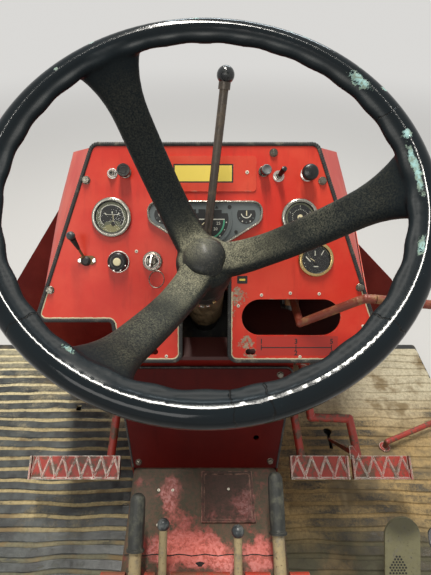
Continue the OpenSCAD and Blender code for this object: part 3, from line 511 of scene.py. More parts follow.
def worn_paint(name, colours, chips, dust, roughness=0.42, gloss=0.35, scuffs=(), housing_shade=()):
    """Paint in two tones that chips to primer and rust along edges, with dust in clouds.

    colours: fresh, faded and chipped-through tones. chips and dust: 0 none to 1 much. gloss: specular level.
    scuffs: (point, size) where it is rubbed. The last argument: (point, size) where it is painted black, as
    painted shade inside the housing.
    """
    fresh, faded, bare = colours
    finish = Finish(name, Coat_Roughness=0.3, Specular_IOR_Level=gloss)
    clouds = finish.cloud(0.09, detail=5.0)
    grain = finish.cloud(0.004, detail=3.0)
    colour = finish.blend(clouds.step(0.38, 0.68), fresh, faded)
    streaks = finish.cloud(0.02, detail=4.0, stretch=(0.5, 3.0, 3.0), offset=3.0).step(0.52, 0.75)
    colour = finish.blend(streaks * 0.35, colour, shade(fresh, 0.55))
    broken = finish.cloud(0.011, detail=6.0, rough=0.7).step(0.62 - 0.25 * chips, 0.68)
    knocks = finish.cloud(0.016, detail=8.0, rough=0.75, offset=7.0).step(0.76 - 0.06 * chips, 0.79)
    wear = (finish.edges(0.0035) * broken).most(knocks * min(1.0, chips * 1.5))
    rubs = finish.cloud(0.006, detail=7.0, rough=0.8, offset=11.0)
    for point, size in scuffs:
        wear = wear.most((rubs + finish.near(point, size * 0.3, size * 1.2) * 0.40).step(0.84, 0.90))
    rust = finish.blend(finish.cloud(0.006, detail=5.0), RUST, bare)
    colour = finish.blend(wear, colour, rust)
    low = finish.cloud(0.035, detail=8.0, rough=0.7, offset=1.5).step(0.72 - 0.35 * dust, 0.85)
    up = finish.facing((0.0, 0.0, 1.0)).step(-0.2, 0.9)
    layer = low * up * dust
    colour = finish.blend(layer, colour, PALE_DUST)
    # painted shade: black where the inside of the housing lies in shade
    for point, size in housing_shade:
        colour = finish.blend(finish.near(point, size, size * 1.6) * 0.93, colour, HOUSING_SHADE_BLACK)
    finish.set(Base_Color=colour, Roughness=roughness + layer * 0.4 + wear * 0.35 + grain * 0.1)
    finish.set(Coat_Weight=(1.0 - wear) * (1.0 - layer) * gloss * 0.34)
    height = grain * 0.15 + clouds * 0.3 - wear * 0.8 + finish.cloud(0.0016, detail=2.0) * 0.06
    return finish.bump(height, distance=0.0008, strength=0.5)


PRIMER = paint(198, 182, 156)
PANEL_REDS = (paint(194, 38, 19), paint(203, 60, 38), PRIMER)
COWL_REDS = (paint(188, 52, 40), paint(200, 84, 68), PRIMER)
PLATE_REDS = (paint(197, 56, 32), paint(206, 74, 48), PRIMER)
# the panel's red made far darker for the lower panel: painted shade, since it lies in shade
SHADED_LOWER_REDS = (paint(62, 6, 4), paint(72, 10, 6), paint(80, 46, 34))
PEDESTAL_REDS = (paint(98, 16, 11), paint(116, 30, 22), paint(96, 62, 44))
# across, up and over the panel, and how far the rubbed paint or the painted shade inside the housing reaches
PANEL_SCUFFS = (
    (0.050, -0.124, 0.0, 0.026), (0.065, -0.198, 0.0, 0.022),
    (0.072, -0.214, 0.0, 0.018), (0.036, -0.150, 0.0, 0.020),
)
COWL_HOUSING_SHADE = ((0.145, -0.155, -0.075, 0.09), (0.0, -0.215, -0.02, 0.065))


def by_panel(rows):
    """Points given in the panel's axes, each with its size, as points in space."""
    return [(tuple(PANEL @ Vector(row[:3])), row[3]) for row in rows]


panel_red = worn_paint("panel_red", PANEL_REDS, chips=0.5, dust=0.25, scuffs=by_panel(PANEL_SCUFFS))
# the cowl is painted black inside the housing, as painted shade
cowl_red = worn_paint("cowl_red", COWL_REDS, chips=0.6, dust=0.55, roughness=0.5, housing_shade=by_panel(COWL_HOUSING_SHADE))
# painted shade: the lower panel's paint is darkened
shade_painted_red = worn_paint("shade_painted_red", SHADED_LOWER_REDS, chips=0.25, dust=0.15, roughness=0.36, gloss=0.12)
plate_red = worn_paint("plate_red", PLATE_REDS, chips=0.35, dust=0.15)
pedestal_red = worn_paint("pedestal_red", PEDESTAL_REDS, chips=0.4, dust=0.45, roughness=0.5, gloss=0.15)
print("red paints are ready")

# %% [markdown]
# Boots have worn the tunnel's top. Most of the red is under a brown crust of earth and old grease, and a few
# rubbed patches still show a pinkish red. Two scales of noise make the crust and a third one its speckle.

# %% Trodden paint of the tunnel
CORAL = paint(212, 98, 84)
DULL_RED = paint(140, 46, 36)
DRY_EARTH = paint(168, 156, 128)
RUBBED_PINK = paint(196, 150, 130)
DEEP_SHADE = paint(30, 22, 15)
# how far forward the tunnel begins to darken and is darkest: painted shade in the panel's lee
UNDER_PANEL = (-0.22, -0.11)
# across, along, reach and brightness of what the boots have rubbed bare
RUBBED_PATCHES = (
    (-0.045, -0.226, 0.036, 1.0), (-0.010, -0.228, 0.034, 1.0), (0.026, -0.234, 0.030, 0.8),
    (0.082, -0.230, 0.036, 0.6), (-0.060, -0.130, 0.034, 0.2), (-0.052, -0.172, 0.028, 0.4),
)


def trodden_paint(name, red, crust, share, patches=()):
    """Red paint under a crust of earth. share: how much crust there is. patches: rows like RUBBED_PATCHES."""
    finish = Finish(name)
    red_now = finish.blend(finish.cloud(0.03, detail=6.0, offset=4.0), red, DULL_RED)
    crust_now = finish.blend(finish.cloud(0.02, detail=8.0, rough=0.7), crust, shade(crust, 1.6))
    cover = (finish.cloud(0.06, detail=9.0, rough=0.72, offset=2.2) - 0.5) * 2.0 + 0.5
    for x, y, size, bright in patches:
        rubbed = finish.near((x, y, TUNNEL_TOP), size * 0.1, size * 1.3)
        cover = cover - rubbed * (0.24 + 0.18 * bright)
        red_now = finish.blend(rubbed * bright, red_now, CORAL)
    cover = cover.step(0.42 - 0.2 * share, 0.68 - 0.2 * share)
    speckle = finish.cloud(0.007, detail=8.0, rough=0.85).step(0.48, 0.62)
    cover = (cover * 0.85 + speckle * 0.5).least(1.0)
    pale = finish.cloud(0.025, detail=8.0, rough=0.75, offset=9.0).step(0.6, 0.78) * 0.55
    colour = finish.blend(pale, finish.blend(cover, red_now, crust_now), DRY_EARTH)
    colour = finish.blend(finish.axis("Y").step(*UNDER_PANEL) * 0.5, colour, DEEP_SHADE)
    rub = finish.edges(0.004, 0.03, 0.25) * finish.cloud(0.012, detail=5.0, offset=5.0).step(0.42, 0.6)
    colour = finish.blend(rub * 0.45, colour, RUBBED_PINK)
    finish.set(Base_Color=colour, Roughness=0.45 + cover * 0.35)
    height = cover * 0.5 + speckle * 0.2 + finish.cloud(0.004, detail=6.0, rough=0.75) * 0.35
    return finish.bump(height, distance=0.0005, strength=0.6)


tunnel_red = trodden_paint("tunnel_red", paint(148, 50, 40), paint(60, 57, 42), 1.0, RUBBED_PATCHES)
lid_red = trodden_paint("lid_red", paint(78, 22, 16), paint(44, 30, 20), 0.8)
console_red = trodden_paint("console_red", paint(190, 66, 50), paint(110, 70, 52), 0.1)
print("trodden paints are ready")


# %% [markdown]
# Bare and painted metal that hands and boots touch: the floor levers are steel under tan dust with rust
# spots, the brake pads are red only between their ridges, and the gear lever is brown from old primer.

# %% Metals
BARE_STEEL = paint(120, 116, 108)
# dark olive of the painted shade at the throttle's toe
TOE_SHADE_TONE = paint(44, 41, 27)
RUBBED_STEEL = paint(205, 198, 186)


def dusty_steel(name, dust_tone, rust_tone, cover, metal_tone=BARE_STEEL, glow=0.5, shaded_spots=()):
    """Steel under dust and rust spots.

    cover: how much of it the dust hides. glow: how metallic the rest is. The last argument: (point, size) of
    dark spots of painted shade.
    """
    finish = Finish(name)
    dust = finish.cloud(0.018, detail=8.0, rough=0.7).step(0.62 - 0.45 * cover, 0.80 - 0.35 * cover)
    spots = finish.cloud(0.0045, detail=6.0, rough=0.75, offset=6.0).step(0.56, 0.66)
    colour = finish.blend(finish.cloud(0.03, detail=3.0), metal_tone, shade(metal_tone, 0.6))
    dust_now = finish.blend(finish.cloud(0.008), dust_tone, shade(dust_tone, 0.7))
    colour = finish.blend(dust, colour, dust_now)
    colour = finish.blend(spots * 0.7, colour, rust_tone)
    # painted shade: dark spots where the part lies in shade
    for point, size in shaded_spots:
        colour = finish.blend(finish.near(point, size * 0.4, size) * 0.75, colour, TOE_SHADE_TONE)
    finish.set(Base_Color=colour, Metallic=(1.0 - dust) * (1.0 - spots) * glow)
    finish.set(Roughness=0.38 + dust * 0.4 + spots * 0.2)
    height = dust * 0.3 + spots * 0.5 + finish.cloud(0.002) * 0.3
    return finish.bump(height, distance=0.0007, strength=0.7)


def rubbed_red(name):
    """Pedal red, rubbed to bright steel on every edge and ridge, with dirt in the hollows."""
    finish = Finish(name)
    red = finish.blend(finish.cloud(0.02, detail=5.0), paint(134, 28, 22), paint(166, 62, 48))
    rub = finish.edges(0.0028, 0.01, 0.12) * finish.cloud(0.01, detail=5.0, offset=2.0).step(0.30, 0.50)
    patch = finish.cloud(0.02, detail=7.0, rough=0.7, offset=8.0).step(0.47, 0.58)
    dirt = finish.cloud(0.013, detail=7.0, rough=0.7, offset=5.0).step(0.56, 0.70)
    colour = finish.blend(patch * 0.9, red, paint(76, 64, 46))
    colour = finish.blend(dirt * 0.65, colour, paint(150, 130, 100))
    colour = finish.blend(rub, colour, RUBBED_STEEL)
    finish.set(Base_Color=colour, Metallic=rub * 0.8, Roughness=0.45 + dirt * 0.35 - rub * 0.12)
    height = finish.cloud(0.003, detail=5.0) + patch * 0.5 - dirt * 0.3
    return finish.bump(height, distance=0.0006, strength=0.7)


lever_steel = dusty_steel("lever_steel", paint(168, 150, 112), paint(74, 50, 34), 0.75)
rod_steel = dusty_steel("rod_steel", paint(120, 104, 84), paint(58, 38, 26), 0.35, paint(92, 84, 76))
shaft_steel = dusty_steel("shaft_steel", paint(110, 96, 76), paint(78, 50, 34), 0.45)
low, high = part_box("foot_throttle")
toe_end = ((low.x + high.x) / 2.0, high.y, high.z)
# the top of the throttle's toe end is darkened: painted shade
toe_shade = [(toe_end, 0.055)]
throttle_steel = dusty_steel(
    "throttle_steel", paint(126, 122, 92), paint(60, 54, 40), 0.85, glow=0.3, shaded_spots=toe_shade
)
# the sleeve is dusty, and its tones are darkened beyond that dust as painted shade
shaded_sleeve_tan = dusty_steel("shaded_sleeve_tan", paint(96, 78, 50), paint(50, 36, 22), 0.6, paint(58, 46, 28), glow=0.1)
gear_brown = dusty_steel(
    "gear_brown", paint(146, 112, 70), paint(112, 46, 34), 0.35, paint(128, 58, 42), glow=0.15
)
pedal_red = rubbed_red("pedal_red")
print("metals are ready")

# %% [markdown]
# The steering wheel is black plastic over a steel ring. It shines on the rim, and its black is tinted
# bluish-green all over, a painted sheen. It is dull with grey-beige dust on the hub and spokes. Old impacts
# have knocked pale flakes out of its skin. Each flake is an oval given by its angle round the wheel, its
# radius and its size, with noise on its outline.

# %% Black plastic of the wheel
# angle round the rim, half its spread along the rim in degrees, radius, half its width
FLAKES = (
    (37.2, 5.0, 0.201, 0.0065), (31.0, 1.5, 0.213, 0.0032), (15.5, 2.0, 0.203, 0.0050),
    (3.4, 10.6, 0.199, 0.0034), (-19.7, 2.8, 0.201, 0.0035), (59.5, 1.8, 0.214, 0.0024),
    (63.9, 1.0, 0.213, 0.0022), (41.0, 1.2, 0.214, 0.0022), (124.6, 1.2, 0.214, 0.0022),
    (-124.6, 2.0, 0.192, 0.0028), (138.7, 0.7, 0.206, 0.0020), (92.5, 1.4, 0.212, 0.0016),
)
CRACKS = (-138.0, -84.0, -76.0, -42.0, 24.0)
CRACK_WIDTH = 0.0009
# only the outer part of the rim is glossy and cracked
GLOSS_FROM = (0.198, 0.202)
CRACKED_FROM = (0.188, 0.190)
RIM_FROM = (0.165, 0.195)
UPPER_SPOKE = 122.4
DUST_FROM = 0.030
DUST_TO = 0.130
WHEEL_DUST = paint(146, 143, 120)


def wheel_ways(finish):
    """Angle in degrees round the wheel's axis and the distance from it, as wires."""
    turn = COLUMN.to_3x3()
    across, up = [finish.along(turn.col[axis], WHEEL_AT) for axis in (0, 1)]
    return up.math("ARCTAN2", up, across) * math.degrees(1.0), (across * across + up * up) ** 0.5


def strongest(masks):
    """The largest of several masks at each point."""
    result = masks[0]
    for mask in masks[1:]:
        result = result.most(mask)
    return result


def speckled_dust(finish, zone):
    """Grainy dust that lies where zone is 1 and thins out with it, on faces that look up."""
    speckle = finish.cloud(0.0019, detail=4.0, rough=0.8).step(0.44, 0.60)
    lumps = finish.cloud(0.014, detail=7.0, rough=0.75, offset=4.0).step(0.36, 0.62)
    up = finish.facing((-0.22, -0.12, 0.97)).step(0.42, 0.92)
    return (zone * up * (0.06 + lumps * 0.3 + speckle * 0.6)).least(1.0)


def moulded_black(name):
    """Glossy black plastic with dust by the hub, and flakes and cracks on the rim."""
    finish = Finish(name, Coat_Roughness=0.06, Specular_IOR_Level=0.14)
    degrees, radius = wheel_ways(finish)
    rim = radius.step(*RIM_FROM)
    # the black is tinted bluish-green all over: a painted sheen
    black = finish.blend(finish.cloud(0.05, detail=3.0), paint(6, 10, 12), paint(11, 23, 29))
    lower_spokes = (degrees - UPPER_SPOKE).size().step(18.0, 42.0)
    grains = finish.cloud(0.0019, detail=5.0, rough=0.85, offset=2.0).step(0.42, 0.62)
    lit = finish.facing((-0.1, -0.2, 0.97)).step(0.35, 0.9)
    worn = finish.cloud(0.05, detail=5.0, offset=9.0).step(0.38, 0.62)
    spoke_film = grains * (1.0 - rim) * (0.10 + lower_spokes * lit * (0.06 + worn * 0.22))
    grime = speckled_dust(finish, radius.step(DUST_TO, DUST_FROM) ** 1.5)
    colour = finish.blend(grime.most(spoke_film), black, WHEEL_DUST)
    scuffs = finish.cloud(0.0035, detail=6.0, rough=0.8, stretch=(1.0, 4.0, 1.0), offset=5.0)
    colour = finish.blend(scuffs.step(0.64, 0.72) * 0.16, colour, paint(140, 144, 140))
    jagged = finish.cloud(0.008, detail=8.0, rough=0.78, offset=3.0) - 0.5
    ovals = []
    for middle, spread, at, half in FLAKES:
        along = (degrees - middle) / spread
        beside = (radius - at) / half
        ovals.append(1.0 - (along * along + beside * beside) ** 0.5)
    oval = strongest(ovals)
    flake = (oval + jagged * 5.0).step(0.30, 0.38) * oval.step(-0.6, -0.3)
    mottle = finish.cloud(0.004, detail=4.0, offset=6.0).step(0.42, 0.6)
    bared = finish.blend(mottle, paint(140, 176, 174), paint(112, 128, 116))
    colour = finish.blend(flake, colour, bared)
    wander = (finish.cloud(0.01, detail=3.0, offset=8.0) - 0.5) * 3.0
    lines = [
        ((degrees - middle + wander) * math.radians(1.0) * radius).size().step(CRACK_WIDTH, CRACK_WIDTH * 0.3)
        for middle in CRACKS
    ]
    crack = strongest(lines) * radius.step(*CRACKED_FROM)
    colour = finish.blend(crack, colour, paint(2, 2, 2))
    matt = 1.0 - radius.step(*GLOSS_FROM)
    roughness = (0.13 + matt * 0.37 + grime * 0.4 + flake * 0.4).least(0.9)
    finish.set(Base_Color=colour, Roughness=roughness, Coat_Weight=(1.0 - matt) * 0.22)
    fine = finish.cloud(0.0018, detail=5.0, rough=0.7)
    height = fine * 0.08 - flake * 0.9 - crack * 1.5 + grime * 0.3
    return finish.bump(height, distance=0.0008, strength=0.6)


def cap_plastic(name):
    """The cap's black plastic: smooth and dark at its near side, speckled dust at its far left side."""
    finish = Finish(name, Coat_Roughness=0.2, Coat_Weight=0.08, Specular_IOR_Level=0.25)
    far_left = tuple(COLUMN @ Vector((-0.014, 0.020, 0.008 - DISH)))
    zone = finish.near(far_left, 0.012, 0.042)
    fine = finish.cloud(0.0024, detail=4.0, offset=5.0).step(0.50, 0.62)
    grime = speckled_dust(finish, zone * 0.55).most(fine * 0.08)
    tone = finish.blend(finish.cloud(0.012, detail=5.0), paint(13, 15, 15), paint(26, 29, 27))
    colour = finish.blend(grime, tone, WHEEL_DUST)
    middle = COLUMN @ Vector((-0.003, 0.005, 0.010 - DISH))
    normal = COLUMN.to_3x3() @ Vector((0.63, -0.77, 0.0))
    off = finish.along(normal, middle) + (finish.cloud(0.01, detail=3.0, offset=2.0) - 0.5) * 0.006
    crack = off.size().step(CRACK_WIDTH, CRACK_WIDTH / 3.0) * finish.near(tuple(middle), 0.0085, 0.0105)
    colour = finish.blend(crack, colour, paint(3, 3, 3))
    finish.set(Base_Color=colour, Roughness=0.5 + grime * 0.35)
    return finish.bump(grime * 0.6, distance=0.0006, strength=0.7)


# %% Rubber and soft plastic
def dull_rubber(name, tone, dust_tone, cover, size=0.01, roughness=0.6):
    """Rubber or soft plastic under a film of dust."""
    finish = Finish(name)
    film = finish.cloud(size * 2.0, detail=7.0, rough=0.7).step(0.66 - 0.4 * cover, 0.82 - 0.2 * cover)
    fine = finish.cloud(size * 0.15, detail=4.0)
    up = finish.facing((0.0, -0.3, 0.95)).step(-0.3, 0.8)
    dust = finish.blend(fine, dust_tone, shade(dust_tone, 0.75))
    colour = finish.blend(film * up, tone, dust)
    rub = finish.edges(0.0018, 0.02, 0.25) * finish.cloud(size, detail=4.0, offset=3.0).step(0.45, 0.6)
    colour = finish.blend(rub * 0.5, colour, paint(150, 146, 134))
    finish.set(Base_Color=colour, Roughness=roughness + film * 0.25 - fine * 0.1)
    return finish.bump(fine * 0.6 + film * 0.4, distance=0.0005, strength=0.7)


wheel_black = moulded_black("wheel_black")
cap_black = cap_plastic("cap_black")
trim_rubber = dull_rubber("trim_rubber", paint(26, 26, 25), paint(128, 124, 110), 0.35)
grip_rubber = dull_rubber("grip_rubber", paint(36, 38, 35), paint(98, 98, 84), 0.55)
knob_black = dull_rubber("knob_black", paint(17, 17, 17), paint(96, 92, 82), 0.3, roughness=0.35)
# the black balls' base is lifted to a dark grey: a painted sheen
knob_gloss = dull_rubber("knob_gloss", paint(30, 33, 35), paint(110, 112, 108), 0.35, roughness=0.16)
ball_grey = dull_rubber("ball_grey", paint(40, 45, 48), paint(126, 130, 128), 0.6, roughness=0.36)
collar_black = dull_rubber("collar_black", paint(18, 18, 17), paint(110, 100, 78), 0.4)
frame_black = dull_rubber("frame_black", paint(24, 24, 23), paint(112, 98, 76), 0.45, 0.03, roughness=0.5)
print("rubber and plastic are ready")

# %% [markdown]
# The mats are black rubber with ribs across. Boots polish the rib tops to a grey sheen and sandy earth stays
# in the grooves. The groove is simply where the rubber is low, so the mask comes from the height above the
# floor, and noise lets the sand spill over in places. The right mat is under a film of sawdust.

# %% Ribbed mats
RIB_H = 0.003
GROOVE = MAT_TOP - RIB_H
SANDY = (paint(106, 104, 86), paint(172, 156, 116), paint(210, 198, 160))
SAWDUST = (paint(80, 78, 60), paint(166, 140, 94), paint(184, 174, 148))
BLACK_RUBBER = (paint(30, 32, 32), paint(66, 70, 68))
BROWN_RUBBER = (paint(40, 36, 28), paint(74, 66, 50))


def mat_rubber(name, dust, film, spread, sands, rubber):
    """dust: how full the grooves are. film: how much dust lies on the ribs. spread: how ragged its edge is.

    sands: tones of the earth near the driver, under the pedals and far off. rubber: two tones.
    """
    finish = Finish(name)
    height = finish.axis("Z")
    wide = finish.cloud(0.16, detail=6.0, rough=0.6)
    fine = finish.cloud(0.004, detail=5.0, rough=0.8)
    spill = finish.cloud(0.035, detail=7.0, rough=0.7, stretch=(2.0, 0.6, 1.0), offset=2.0)
    level = (height - GROOVE) / RIB_H
    packed = (level + (spill - 0.5) * spread + fine - 0.5).step(0.75 * dust + 0.1, 0.75 * dust - 0.25)
    forward = finish.axis("Y") + (wide - 0.5) * 0.2
    far = forward.step(0.05, 0.22)
    over = wide + far * 0.12 + (fine - 0.5) * 0.4 + (spill - 0.5) * 0.5
    over = over.step(0.70 - 0.35 * film, 0.9 - 0.35 * film) * film
    tone = finish.blend(forward.step(-0.18, -0.08), sands[0], sands[1])
    tone = finish.blend(far, tone, sands[2])
    lumps = finish.cloud(0.007, detail=6.0, rough=0.8).step(0.42, 0.62)
    sand = finish.blend(lumps * 0.45, tone, paint(70, 60, 44))
    dark_earth = finish.blend(finish.cloud(0.02, detail=5.0), paint(98, 83, 58), paint(134, 116, 84))
    sand = finish.blend(finish.cloud(0.10, detail=4.0, offset=6.0).step(0.5, 0.62), sand, dark_earth)
    rubber = finish.blend(finish.cloud(0.03, detail=5.0, offset=1.0).step(0.35, 0.65), *rubber)
    cover = packed.most(over).least(1.0)
    colour = finish.blend(cover, rubber, sand)
    grit = finish.cloud(0.0022, detail=3.0, rough=0.9, offset=8.0).step(0.68, 0.74) * 0.6
    colour = finish.blend(grit, colour, paint(206, 196, 166))
    finish.set(Base_Color=colour, Roughness=0.36 + cover * 0.5)
    return finish.bump(fine * 0.5 + cover * 0.6 + spill * 0.3, distance=0.0015, strength=0.8)


mat_left_rubber = mat_rubber("mat_left_rubber", 0.70, 0.5, 3.4, SANDY, BLACK_RUBBER)
mat_right_rubber = mat_rubber("mat_right_rubber", 0.84, 0.95, 3.8, SAWDUST, BROWN_RUBBER)
print("mats are ready")

# %% [markdown]
# The dials sit behind old glass in chromed rings gone dull. Chrome is a metal with a little dirt where the
# ring meets the panel. The glass lets most light through and keeps its own dust.

# %% Chrome, glass and dial colours
def dull_chrome(name, tone, dirt):
    finish = Finish(name, Metallic=0.9)
    stain = finish.cloud(0.006, detail=6.0, rough=0.7).step(0.62 - 0.2 * dirt, 0.8)
    colour = finish.blend(stain, tone, paint(104, 92, 74))
    finish.set(Base_Color=colour, Roughness=0.22 + stain * 0.5, Metallic=0.9 - stain * 0.8)
    return finish.bump(stain + finish.cloud(0.002) * 0.5, distance=0.0003, strength=0.6)


def old_glass(name):
    finish = Finish(name, Transmission_Weight=1.0, IOR=1.45, Roughness=0.04)
    film = finish.cloud(0.02, detail=7.0, rough=0.7).step(0.5, 0.85)
    finish.set(Base_Color=(0.95, 0.96, 0.94, 1.0), Alpha=0.10 + film * 0.22)
    return finish.material


def flat_tone(name, tone, dust=0.2, roughness=0.55, glow=0.0):
    """A printed or painted tone with faint dust."""
    finish = Finish(name)
    film = finish.cloud(0.012, detail=7.0, rough=0.75).step(0.55, 0.85) * dust
    grain = finish.cloud(0.0015, detail=3.0)
    colour = finish.blend(film, tone, paint(150, 142, 122))
    finish.set(Base_Color=colour, Roughness=roughness + film * 0.4, Metallic=glow)
    return finish.bump(grain, distance=0.0002, strength=0.4)


ring_chrome = dull_chrome("ring_chrome", paint(168, 165, 154), 0.75)
ring_brass = dull_chrome("ring_brass", paint(190, 164, 112), 0.5)
bolt_steel = dull_chrome("bolt_steel", paint(122, 118, 108), 0.8)
bright_steel = dull_chrome("bright_steel", paint(206, 202, 194), 0.5)
dial_glass = old_glass("dial_glass")
dial_black = flat_tone("dial_black", paint(24, 25, 25), 0.5)
dial_grey = flat_tone("dial_grey", paint(92, 94, 90), 0.5)
dial_olive = flat_tone("dial_olive", paint(92, 94, 74), 0.6)
cluster_grey = flat_tone("cluster_grey", paint(92, 99, 99), 0.9)
dust_tan = flat_tone("dust_tan", paint(128, 124, 88), 0.6)
mark_white = flat_tone("mark_white", paint(206, 204, 190))
mark_green = flat_tone("mark_green", paint(70, 150, 116))
mark_red = flat_tone("mark_red", paint(176, 58, 44))
needle_cream = flat_tone("needle_cream", paint(214, 202, 164))
label_yellow = flat_tone("label_yellow", paint(222, 198, 84), 0.4)
print_black = flat_tone("print_black", paint(24, 22, 20), 0.25)
cream_plastic = flat_tone("cream_plastic", paint(216, 206, 166), 0.4)
brass_brown = flat_tone("brass_brown", paint(104, 82, 52), 0.5, 0.45, 0.5)
rivet_white = flat_tone("rivet_white", paint(206, 200, 182), 0.3, 0.4)
patch_red = flat_tone("patch_red", paint(168, 40, 26), 0.15, 0.4)
print("chrome, glass and dials are ready")

# %% [markdown]
# Every carried-over solid gets its finish from one table. The imported meshes are shaded smooth only where
# the CAD surface is round, so edges over an angle are marked sharp. That changes no point of the mesh.

# %% Finishes of the CAD solids
SOLID_FINISH = {
    frame_black: (
        "underframe", "cross_members", "floor_plate", "column_bracket", "column_tube", "gear_pivot",
        "foot_throttle_base",
    ),
    cowl_red: ("dash_housing",),
    shade_painted_red: ("lower_panel",),
    pedestal_red: ("pedestal", "toe_board"),
    panel_red: ("dash_panel",),
    plate_red: ("cover_plate",),
    tunnel_red: ("tunnel_cover",),
    lid_red: ("tunnel_lid",),
    console_red: ("rear_console",),
    mat_left_rubber: ("mat_left",),
    mat_right_rubber: ("mat_right",),
    trim_rubber: ("lower_trim", "dash_trim"),
    ring_chrome: ("cluster", "gauge_left", "gauge_right_upper", "ignition_lock"),
    ring_brass: ("gauge_right_lower",),
    knob_black: ("dash_switches",),
    collar_black: ("hand_lever_base",),
    shaded_sleeve_tan: ("column_sleeve",),
    shaft_steel: ("steering_shaft", "lever_shaft", "pedal_shaft"),
    wheel_black: ("steering_wheel", "wheel_cap"),
    rod_steel: ("hand_lever",),
    gear_brown: ("gear_lever",),
    pedal_red: ("clutch_pedal", "brake_pedal_left", "brake_pedal_right", "side_bar"),
    throttle_steel: ("foot_throttle",),
    lever_steel: ("park_lever", "lift_lever", "draft_lever", "range_lever"),
}
SHARP_EDGE = 28.0

for material, names in SOLID_FINISH.items():
    for name in names:
        coat_mesh(NODES[name].data, material, SHARP_EDGE)
unfinished = set(NODES) - {name for names in SOLID_FINISH.values() for name in names}
print("solids with a finish:", len(NODES) - len(unfinished), "without:", sorted(unfinished))

# %% [markdown]
# The wheel is one moulding: a thick rim with a thinner bead for the fingers on its inside, three spokes that
# sink 165 mm to the hub and flare where they meet the rim, and a hub that they melt into. Modelling those
# soft joints face by face is slow. Here the parts are made roughly, joined into one skin by a voxel remesh
# and then smoothed, which rounds every inner corner as the mould does.

# %% Steering wheel
WHEEL_R = 0.220
RIM_BULK = 0.0125
RIM_WIDE = 0.031
BEAD = 0.0055
FINGER_WAVES = 30
WAVE_DEPTH = 0.0006
HUB_R = 0.0385
SPOKE_ANGLES = (2.4, 122.4, 242.4)
SPOKE_W = 0.0430
SPOKE_T = 0.020
# a spoke widens and thickens over its last stretch before the rim, and a little at the hub
RIM_FLARE = 0.050
RIM_EXTRA_W = 0.052
RIM_EXTRA_T = 0.004
HUB_FLARE = 0.040
HUB_EXTRA_W = 0.003
HUB_EXTRA_T = 0.006
HUB_TOP = -DISH + 0.010
HUB_DEPTH = 0.071
WHEEL_VOXEL = 0.0021


def dish_height(r):
    """Height of a spoke's middle at radius r, measured from the rim's plane."""
    share = max(0.0, (r - HUB_R + 0.008) / (WHEEL_R - 0.0155 - HUB_R + 0.008))
    return -DISH * (1.0 - share ** 1.4)


def rim_section(angle):
    """Outline of the rim's section at an angle round the wheel, as (radius, height) points."""
    wave = WAVE_DEPTH * math.cos(FINGER_WAVES * angle)
    bulk = WHEEL_R - RIM_BULK
    bead = WHEEL_R - RIM_WIDE + BEAD
    rows = []
    for i in range(17):
        a = math.radians(-125.0 + 250.0 * i / 16)
        rows.append((bulk + RIM_BULK * math.cos(a), RIM_BULK * math.sin(a)))
    rows.append((bulk - 0.0105, 0.0062))
    for i in range(9):
        a = math.radians(70.0 + 220.0 * i / 8)
        rows.append((bead + wave + (BEAD - wave * 0.4) * math.cos(a), 0.001 + BEAD * math.sin(a)))
    rows.append((bulk - 0.0105, -0.0052))
    return rows


def spoke_rings(degrees):
    """Rings of points along one spoke, wider and thicker where it meets the rim and the hub."""
    a = math.radians(degrees)
    out = Vector((math.cos(a), math.sin(a), 0.0))
    side = Vector((-math.sin(a), math.cos(a), 0.0))
    start, end = HUB_R - 0.020, WHEEL_R - 0.014
    rings = []
    for i in range(25):
        r = start + (end - start) * i / 24
        middle = out * r + Vector((0.0, 0.0, dish_height(r)))
        way = (out * 0.002 + Vector((0.0, 0.0, dish_height(r + 0.001) - dish_height(r - 0.001)))).normalized()
        face = way.cross(side).normalized()
        to_rim = max(0.0, (r - end + RIM_FLARE) / RIM_FLARE)
        to_hub = max(0.0, (HUB_R + HUB_FLARE - r) / HUB_FLARE)
        width = SPOKE_W + RIM_EXTRA_W * to_rim ** 2.6 + HUB_EXTRA_W * to_hub
        thick = SPOKE_T + RIM_EXTRA_T * to_rim + HUB_EXTRA_T * to_hub
        ring = []
        for b in angles(24):
            x = math.copysign(abs(math.cos(b)) ** 0.55, math.cos(b)) * width / 2.0
            y = math.copysign(abs(math.sin(b)) ** 0.70, math.sin(b)) * thick / 2.0
            ring.append(COLUMN @ (middle + side * x + face * y))
        rings.append(ring)
    return rings


def make_wheel():
    form = Form()
    form.skin([
        [COLUMN @ Vector((r * math.cos(a), r * math.sin(a), z)) for r, z in rim_section(a)]
        for a in angles(300)
    ], loop=True)
    for degrees in SPOKE_ANGLES:
        form.skin(spoke_rings(degrees))
    # how far inside the hub's radius and under its top
    hub = (
        (HUB_R, HUB_DEPTH), (0.008, HUB_DEPTH), (0.003, 0.062), (0.0, 0.036), (0.0, 0.014), (0.004, 0.005),
        (0.010, 0.001), (HUB_R, 0.0),
    )
    form.lathe([(HUB_R - inside, HUB_TOP - under) for inside, under in hub], COLUMN, steps=64)
    wheel = form.object("steering_wheel_moulding", "wheel", [wheel_black], "wheel_black", ["steering_wheel"])
    remesh = wheel.modifiers.new("one_skin", "REMESH")
    remesh.mode = "VOXEL"
    remesh.voxel_size = WHEEL_VOXEL
    smooth = wheel.modifiers.new("soft_corners", "SMOOTH")
    smooth.factor = 0.6
    smooth.iterations = 5
    bake_modifiers(wheel)
    wheel.data.shade_smooth()
    return wheel


def bake_modifiers(piece):
    """Replaces a piece's mesh by what its modifiers make of it."""
    bpy.context.view_layer.update()
    seen = piece.evaluated_get(bpy.context.evaluated_depsgraph_get())
    mesh = bpy.data.meshes.new_from_object(seen)
    old = piece.data
    piece.modifiers.clear()
    piece.data = mesh
    bpy.data.meshes.remove(old)


wheel = make_wheel()
print("steering wheel faces:", len(wheel.data.polygons))

# %% [markdown]
# The cap over the wheel's nut is a low dome with a rolled edge that sits in a shallow ring.

